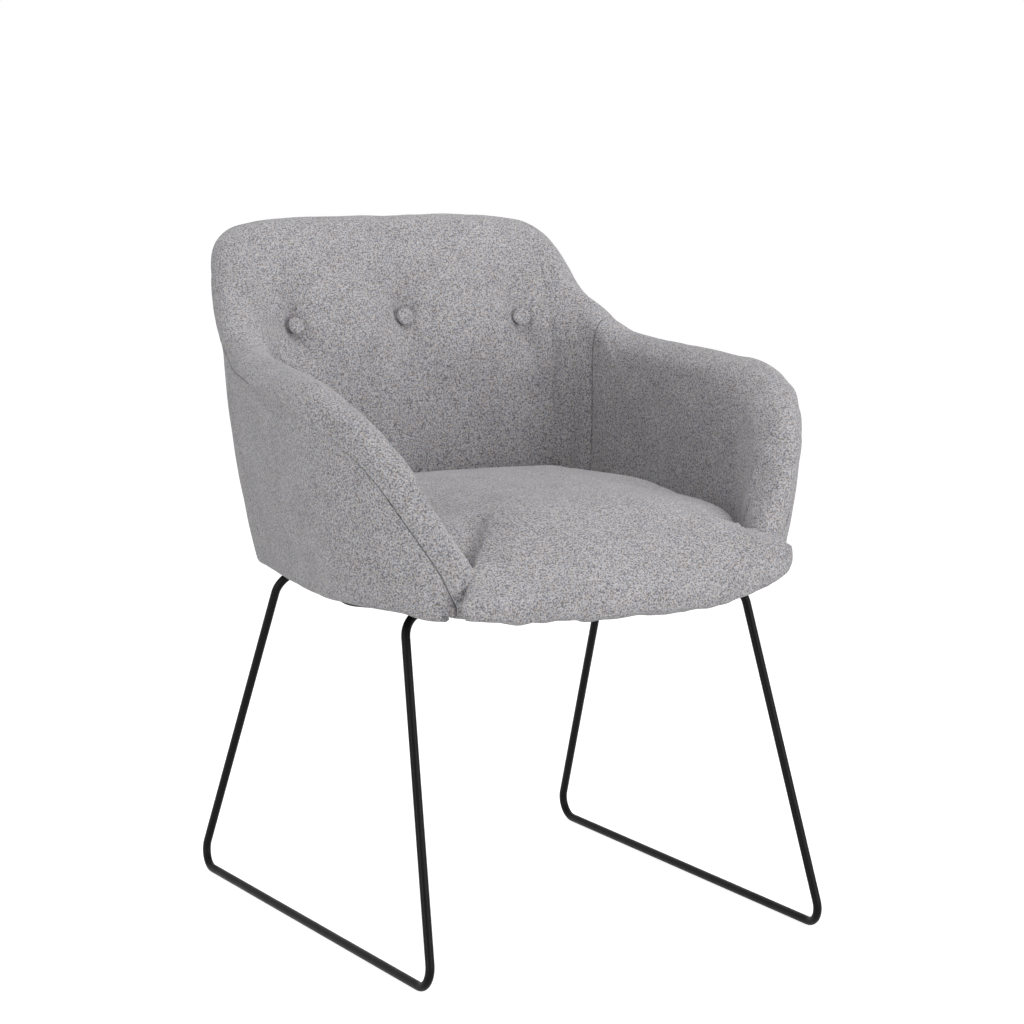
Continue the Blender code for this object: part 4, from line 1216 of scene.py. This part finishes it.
class ARMCHAIR_OT_base(bpy.types.Operator):
    """Bend the two rods of the sled base"""

    bl_idname = "armchair.base"
    bl_label = "Sled Base"

    def execute(self, context):
        settings = context.scene.armchair_base
        for side, word in SIDES:
            middle = GAP / 2
            corners = (
                (middle, CROSS_FRONT[1], CROSS_HEIGHT), (*CROSS_FRONT, CROSS_HEIGHT), (*RUNNER_FRONT, ROD_RADIUS),
                (*RUNNER_REAR, ROD_RADIUS), (*CROSS_REAR, CROSS_HEIGHT), (middle, CROSS_REAR[1], CROSS_HEIGHT),
            )
            points = filleted_path([(side * x, y, z) for x, y, z in corners], ROD_BENDS, BEND_STEPS)
            curve = bpy.data.curves.new(f"rod_line_{word}", "CURVE")
            curve.dimensions = "3D"
            curve.bevel_depth = ROD_RADIUS
            curve.bevel_resolution = settings.sides // 4 - 1
            curve.use_fill_caps = True
            line = curve.splines.new("POLY")
            line.points.add(len(points) - 1)
            for spot, point in zip(line.points, points):
                spot.co = (*point, 1.0)
            guide = add_object(curve.name, curve)
            mesh = bpy.data.meshes.new_from_object(guide.evaluated_get(context.evaluated_depsgraph_get()))
            bpy.data.objects.remove(guide)
            mesh_data = bmesh.new()
            mesh_data.from_mesh(mesh)
            bpy.data.meshes.remove(mesh)
            bmesh.ops.remove_doubles(mesh_data, verts=mesh_data.verts, dist=MERGED)
            face_outwards(mesh_data)
            piece = piece_from(f"bent_rod_{word}", mesh_data, finish("Black powder coat", settings))
            piece.data.set_sharp_from_angle(angle=ROD_CREASE)
            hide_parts(f"sled_rod_{word}")
        return {"FINISHED"}


def dust_half(side, inset, depth):
    """Half of a ring of the dust cover, this far in from its edge. It hangs lower beside the left rear leg."""
    floor = DUST_EDGE + (DUST_FLOOR - DUST_EDGE) * smooth_step(depth)
    along, across, _ = DUST_STEPS
    half = []
    for k in range(along + 1):
        run = DUST_LAST_RUN * k / along
        point = wall(side * run, floor, half_thickness(run) - DUST_INSET - inset)
        if side < 0.0:
            near = math.exp(-(((run - DUST_HANG_RUN[0]) / DUST_HANG_RUN[1]) ** 2))
            point.z -= DUST_HANG * near * (1.0 - eased(depth, *DUST_HANG_EASE))
        half.append(point)
    corner, middle = half[-1], Vector((0.0, DUST_FRONT + inset, floor))
    ahead = corner + along_wall(side, DUST_LAST_RUN, DUST_CORNER)
    bow = middle + Vector((side * DUST_BOW, 0.0, 0.0))
    return half + [bezier(corner, ahead, bow, middle, k / across) for k in range(1, across + 1)]


def over_leg(place):
    """Whether a place of the dust cover lies where a leg comes through."""
    for cross in (CROSS_FRONT, CROSS_REAR):
        if -LEG_SLOT[0] < abs(place.x) - cross[0] < LEG_SLOT[1] and abs(place.y - cross[1]) < LEG_SLOT[2]:
            return True
    return False


class ARMCHAIR_OT_dust_cover(bpy.types.Operator):
    """Stretch the thin cloth under the seat, with a slot for each leg"""

    bl_idname = "armchair.dust_cover"
    bl_label = "Dust Cover"

    def execute(self, context):
        rings = []
        for step in range(DUST_STEPS[2] + 1):
            at = (DUST_MARGIN * step / DUST_STEPS[2], step / DUST_STEPS[2])
            rings.append(dust_half(1.0, *at) + dust_half(-1.0, *at)[-2:0:-1])
        mesh_data = stacked_rings(rings, True)
        slots = [face for face in mesh_data.faces if len(face.verts) == 4 and over_leg(face.calc_center_median())]
        bmesh.ops.delete(mesh_data, geom=slots, context="FACES")
        bmesh.ops.recalc_face_normals(mesh_data, faces=mesh_data.faces)
        area = sum(face.calc_area() for face in mesh_data.faces)
        piece = piece_from("under_seat_cloth", mesh_data, finish("Black dust cloth"))
        piece.modifiers.new("Thickness", "SOLIDIFY").thickness = DUST_CLOTH
        x, y, _ = zip(*(vert.co for vert in piece.data.vertices))
        max(x) - min(x) + DUST_HEM
        max(y) - min(y) + DUST_HEM
        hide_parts("dust_cover")
        return {"FINISHED"}


HIDDEN_FINISHES = (
    ("tub_shell", "Moulded core"),
    ("seat_board", "Birch plywood"),
    ("mounting_plate", "Black powder coat"),
    ("button_tie", "Waxed twine"),
    *((start, "Zinc plate") for start in ("frame_bolt", "t_nut", "shell_screw", "button_washer")),
)


class ARMCHAIR_OT_hidden(bpy.types.Operator):
    """Finish the pieces under the cloth: core, board, plates and fasteners"""

    bl_idname = "armchair.hidden"
    bl_label = "Pieces Under the Cloth"

    def execute(self, context):
        finish("Black powder coat", context.scene.armchair_base)
        for name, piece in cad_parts.items():
            for start, wanted in HIDDEN_FINISHES:
                if name.startswith(start):
                    piece.data.materials.clear()
                    piece.data.materials.append(finish(wanted))
        return {"FINISHED"}


# The studio


CAMERA_PLACE = Vector((-1.5623, -2.8463, 0.9202))
CAMERA_BACK = Vector((-0.4829, -0.8643, 0.1406))
CAMERA_RIGHT = Vector((0.87297, -0.48778, 0.0))
CAMERA_LENS = 98.236
CAMERA_SENSOR = 36.0
VIEW_END = 100.0
FLOOR_HEIGHT = -0.0002

# Lamps: setting, name, place, what it points at, and size
LAMPS = (
    ("above", "Lamp above", (0.2, 0.3, 2.7), (0.0, 0.0, 0.5), 2.4),
    ("front", "Lamp in front", (1.6, -2.5, 1.2), (0.0, 0.0, 0.45), 1.6),
    ("low", "Low lamp in front", (0.4, -3.0, 0.7), (0.0, 0.0, 0.45), 1.4),
    ("left", "Lamp on the left", (-2.6, -0.7, 0.55), (0.0, 0.0, 0.45), 1.1),
)


def add_lamp(name, place, target, size, energy):
    lamp = bpy.data.lights.new(name, "AREA")
    lamp.shape, lamp.size, lamp.energy = "SQUARE", size, energy
    made = add_object(name, lamp)
    made.location = place
    made.rotation_euler = (Vector(place) - Vector(target)).to_track_quat("Z", "Y").to_euler()


def seen_directly(tree):
    """1 for camera, glossy and transmission rays, and 0 for the rest."""
    rays = add_node(tree, "LightPath", {}).outputs
    glossy = reckoned(tree, "MAXIMUM", rays["Is Camera Ray"], rays["Is Glossy Ray"])
    return reckoned(tree, "MAXIMUM", glossy, rays["Is Transmission Ray"])


class ARMCHAIR_OT_stage(bpy.types.Operator):
    """Set up the pale floor, the soft light and the camera"""

    bl_idname = "armchair.stage"
    bl_label = "Studio"

    def execute(self, context):
        settings = context.scene.armchair_stage
        mesh_data = bmesh.new()
        bmesh.ops.create_grid(mesh_data, x_segments=4, y_segments=4, size=settings.floor / 2)
        floor = add_object("floor", mesh_from("floor", mesh_data))
        floor.location.z = FLOOR_HEIGHT
        made, tree, shader = new_material("Pale floor", {
            "Base Color": (*grey(settings.floor_colour), 1.0), "Roughness": 1.0, "Specular IOR Level": 0.0,
            "Emission Color": (1.0, 1.0, 1.0, 1.0),
        })
        glow = reckoned(tree, "MULTIPLY", seen_directly(tree), settings.floor_glow)
        set_inputs(tree, shader, {"Emission Strength": glow})
        floor.data.materials.append(made)

        world = bpy.data.worlds.new("Studio")
        context.scene.world = world
        world.use_nodes = True
        tree = world.node_tree
        level = add_node(tree, "MapRange", {"Value": seen_directly(tree), "To Min": settings.sky, "To Max": 1.0})
        back = {"Color": (1.0, 1.0, 1.0, 1.0), "Strength": level.outputs["Result"]}
        set_inputs(tree, tree.nodes["Background"], back)

        for setting, *lamp in LAMPS:
            add_lamp(*lamp, getattr(settings, setting))

        camera = bpy.data.cameras.new("Camera")
        camera.lens, camera.sensor_width, camera.clip_end = CAMERA_LENS, CAMERA_SENSOR, VIEW_END
        place = add_object("Camera", camera)
        right, back_way = CAMERA_RIGHT.normalized(), CAMERA_BACK.normalized()
        axes = Matrix((right, back_way.cross(right).normalized(), back_way)).transposed().to_4x4()
        place.matrix_world = Matrix.Translation(CAMERA_PLACE) @ axes
        context.scene.camera = place
        context.scene.view_settings.view_transform = "Standard"
        return {"FINISHED"}


OPERATORS = (
    ARMCHAIR_OT_back,
    ARMCHAIR_OT_arms,
    ARMCHAIR_OT_seat,
    ARMCHAIR_OT_buttons,
    ARMCHAIR_OT_base,
    ARMCHAIR_OT_dust_cover,
    ARMCHAIR_OT_hidden,
    ARMCHAIR_OT_stage,
)


class ARMCHAIR_PT_sidebar(bpy.types.Panel):
    """Settings and steps of the armchair"""

    bl_idname = "ARMCHAIR_PT_sidebar"
    bl_label = "Armchair"
    bl_space_type = "VIEW_3D"
    bl_region_type = "UI"
    bl_category = "Armchair"

    def draw(self, context):
        for name, group in GROUPS.items():
            box = self.layout.box()
            box.label(text=group.__name__.replace("Settings", ""))
            for key in group.__annotations__:
                box.prop(getattr(context.scene, name), key)
        for operator in OPERATORS:
            self.layout.operator(operator.bl_idname)


def register():
    for group in GROUPS.values():
        bpy.utils.register_class(group)
    for name, group in GROUPS.items():
        setattr(bpy.types.Scene, name, bpy.props.PointerProperty(type=group))
    for operator in OPERATORS:
        bpy.utils.register_class(operator)
    bpy.utils.register_class(ARMCHAIR_PT_sidebar)


def unregister():
    bpy.utils.unregister_class(ARMCHAIR_PT_sidebar)
    for operator in reversed(OPERATORS):
        bpy.utils.unregister_class(operator)
    for name in GROUPS:
        delattr(bpy.types.Scene, name)
    for group in reversed(list(GROUPS.values())):
        bpy.utils.unregister_class(group)


def main():
    register()
    bpy.ops.armchair.back()
    bpy.ops.armchair.arms()
    bpy.ops.armchair.seat()
    bpy.ops.armchair.buttons()
    bpy.ops.armchair.base()
    bpy.ops.armchair.dust_cover()
    bpy.ops.armchair.hidden()
    bpy.ops.armchair.stage()


if __name__ == "__main__":
    main()
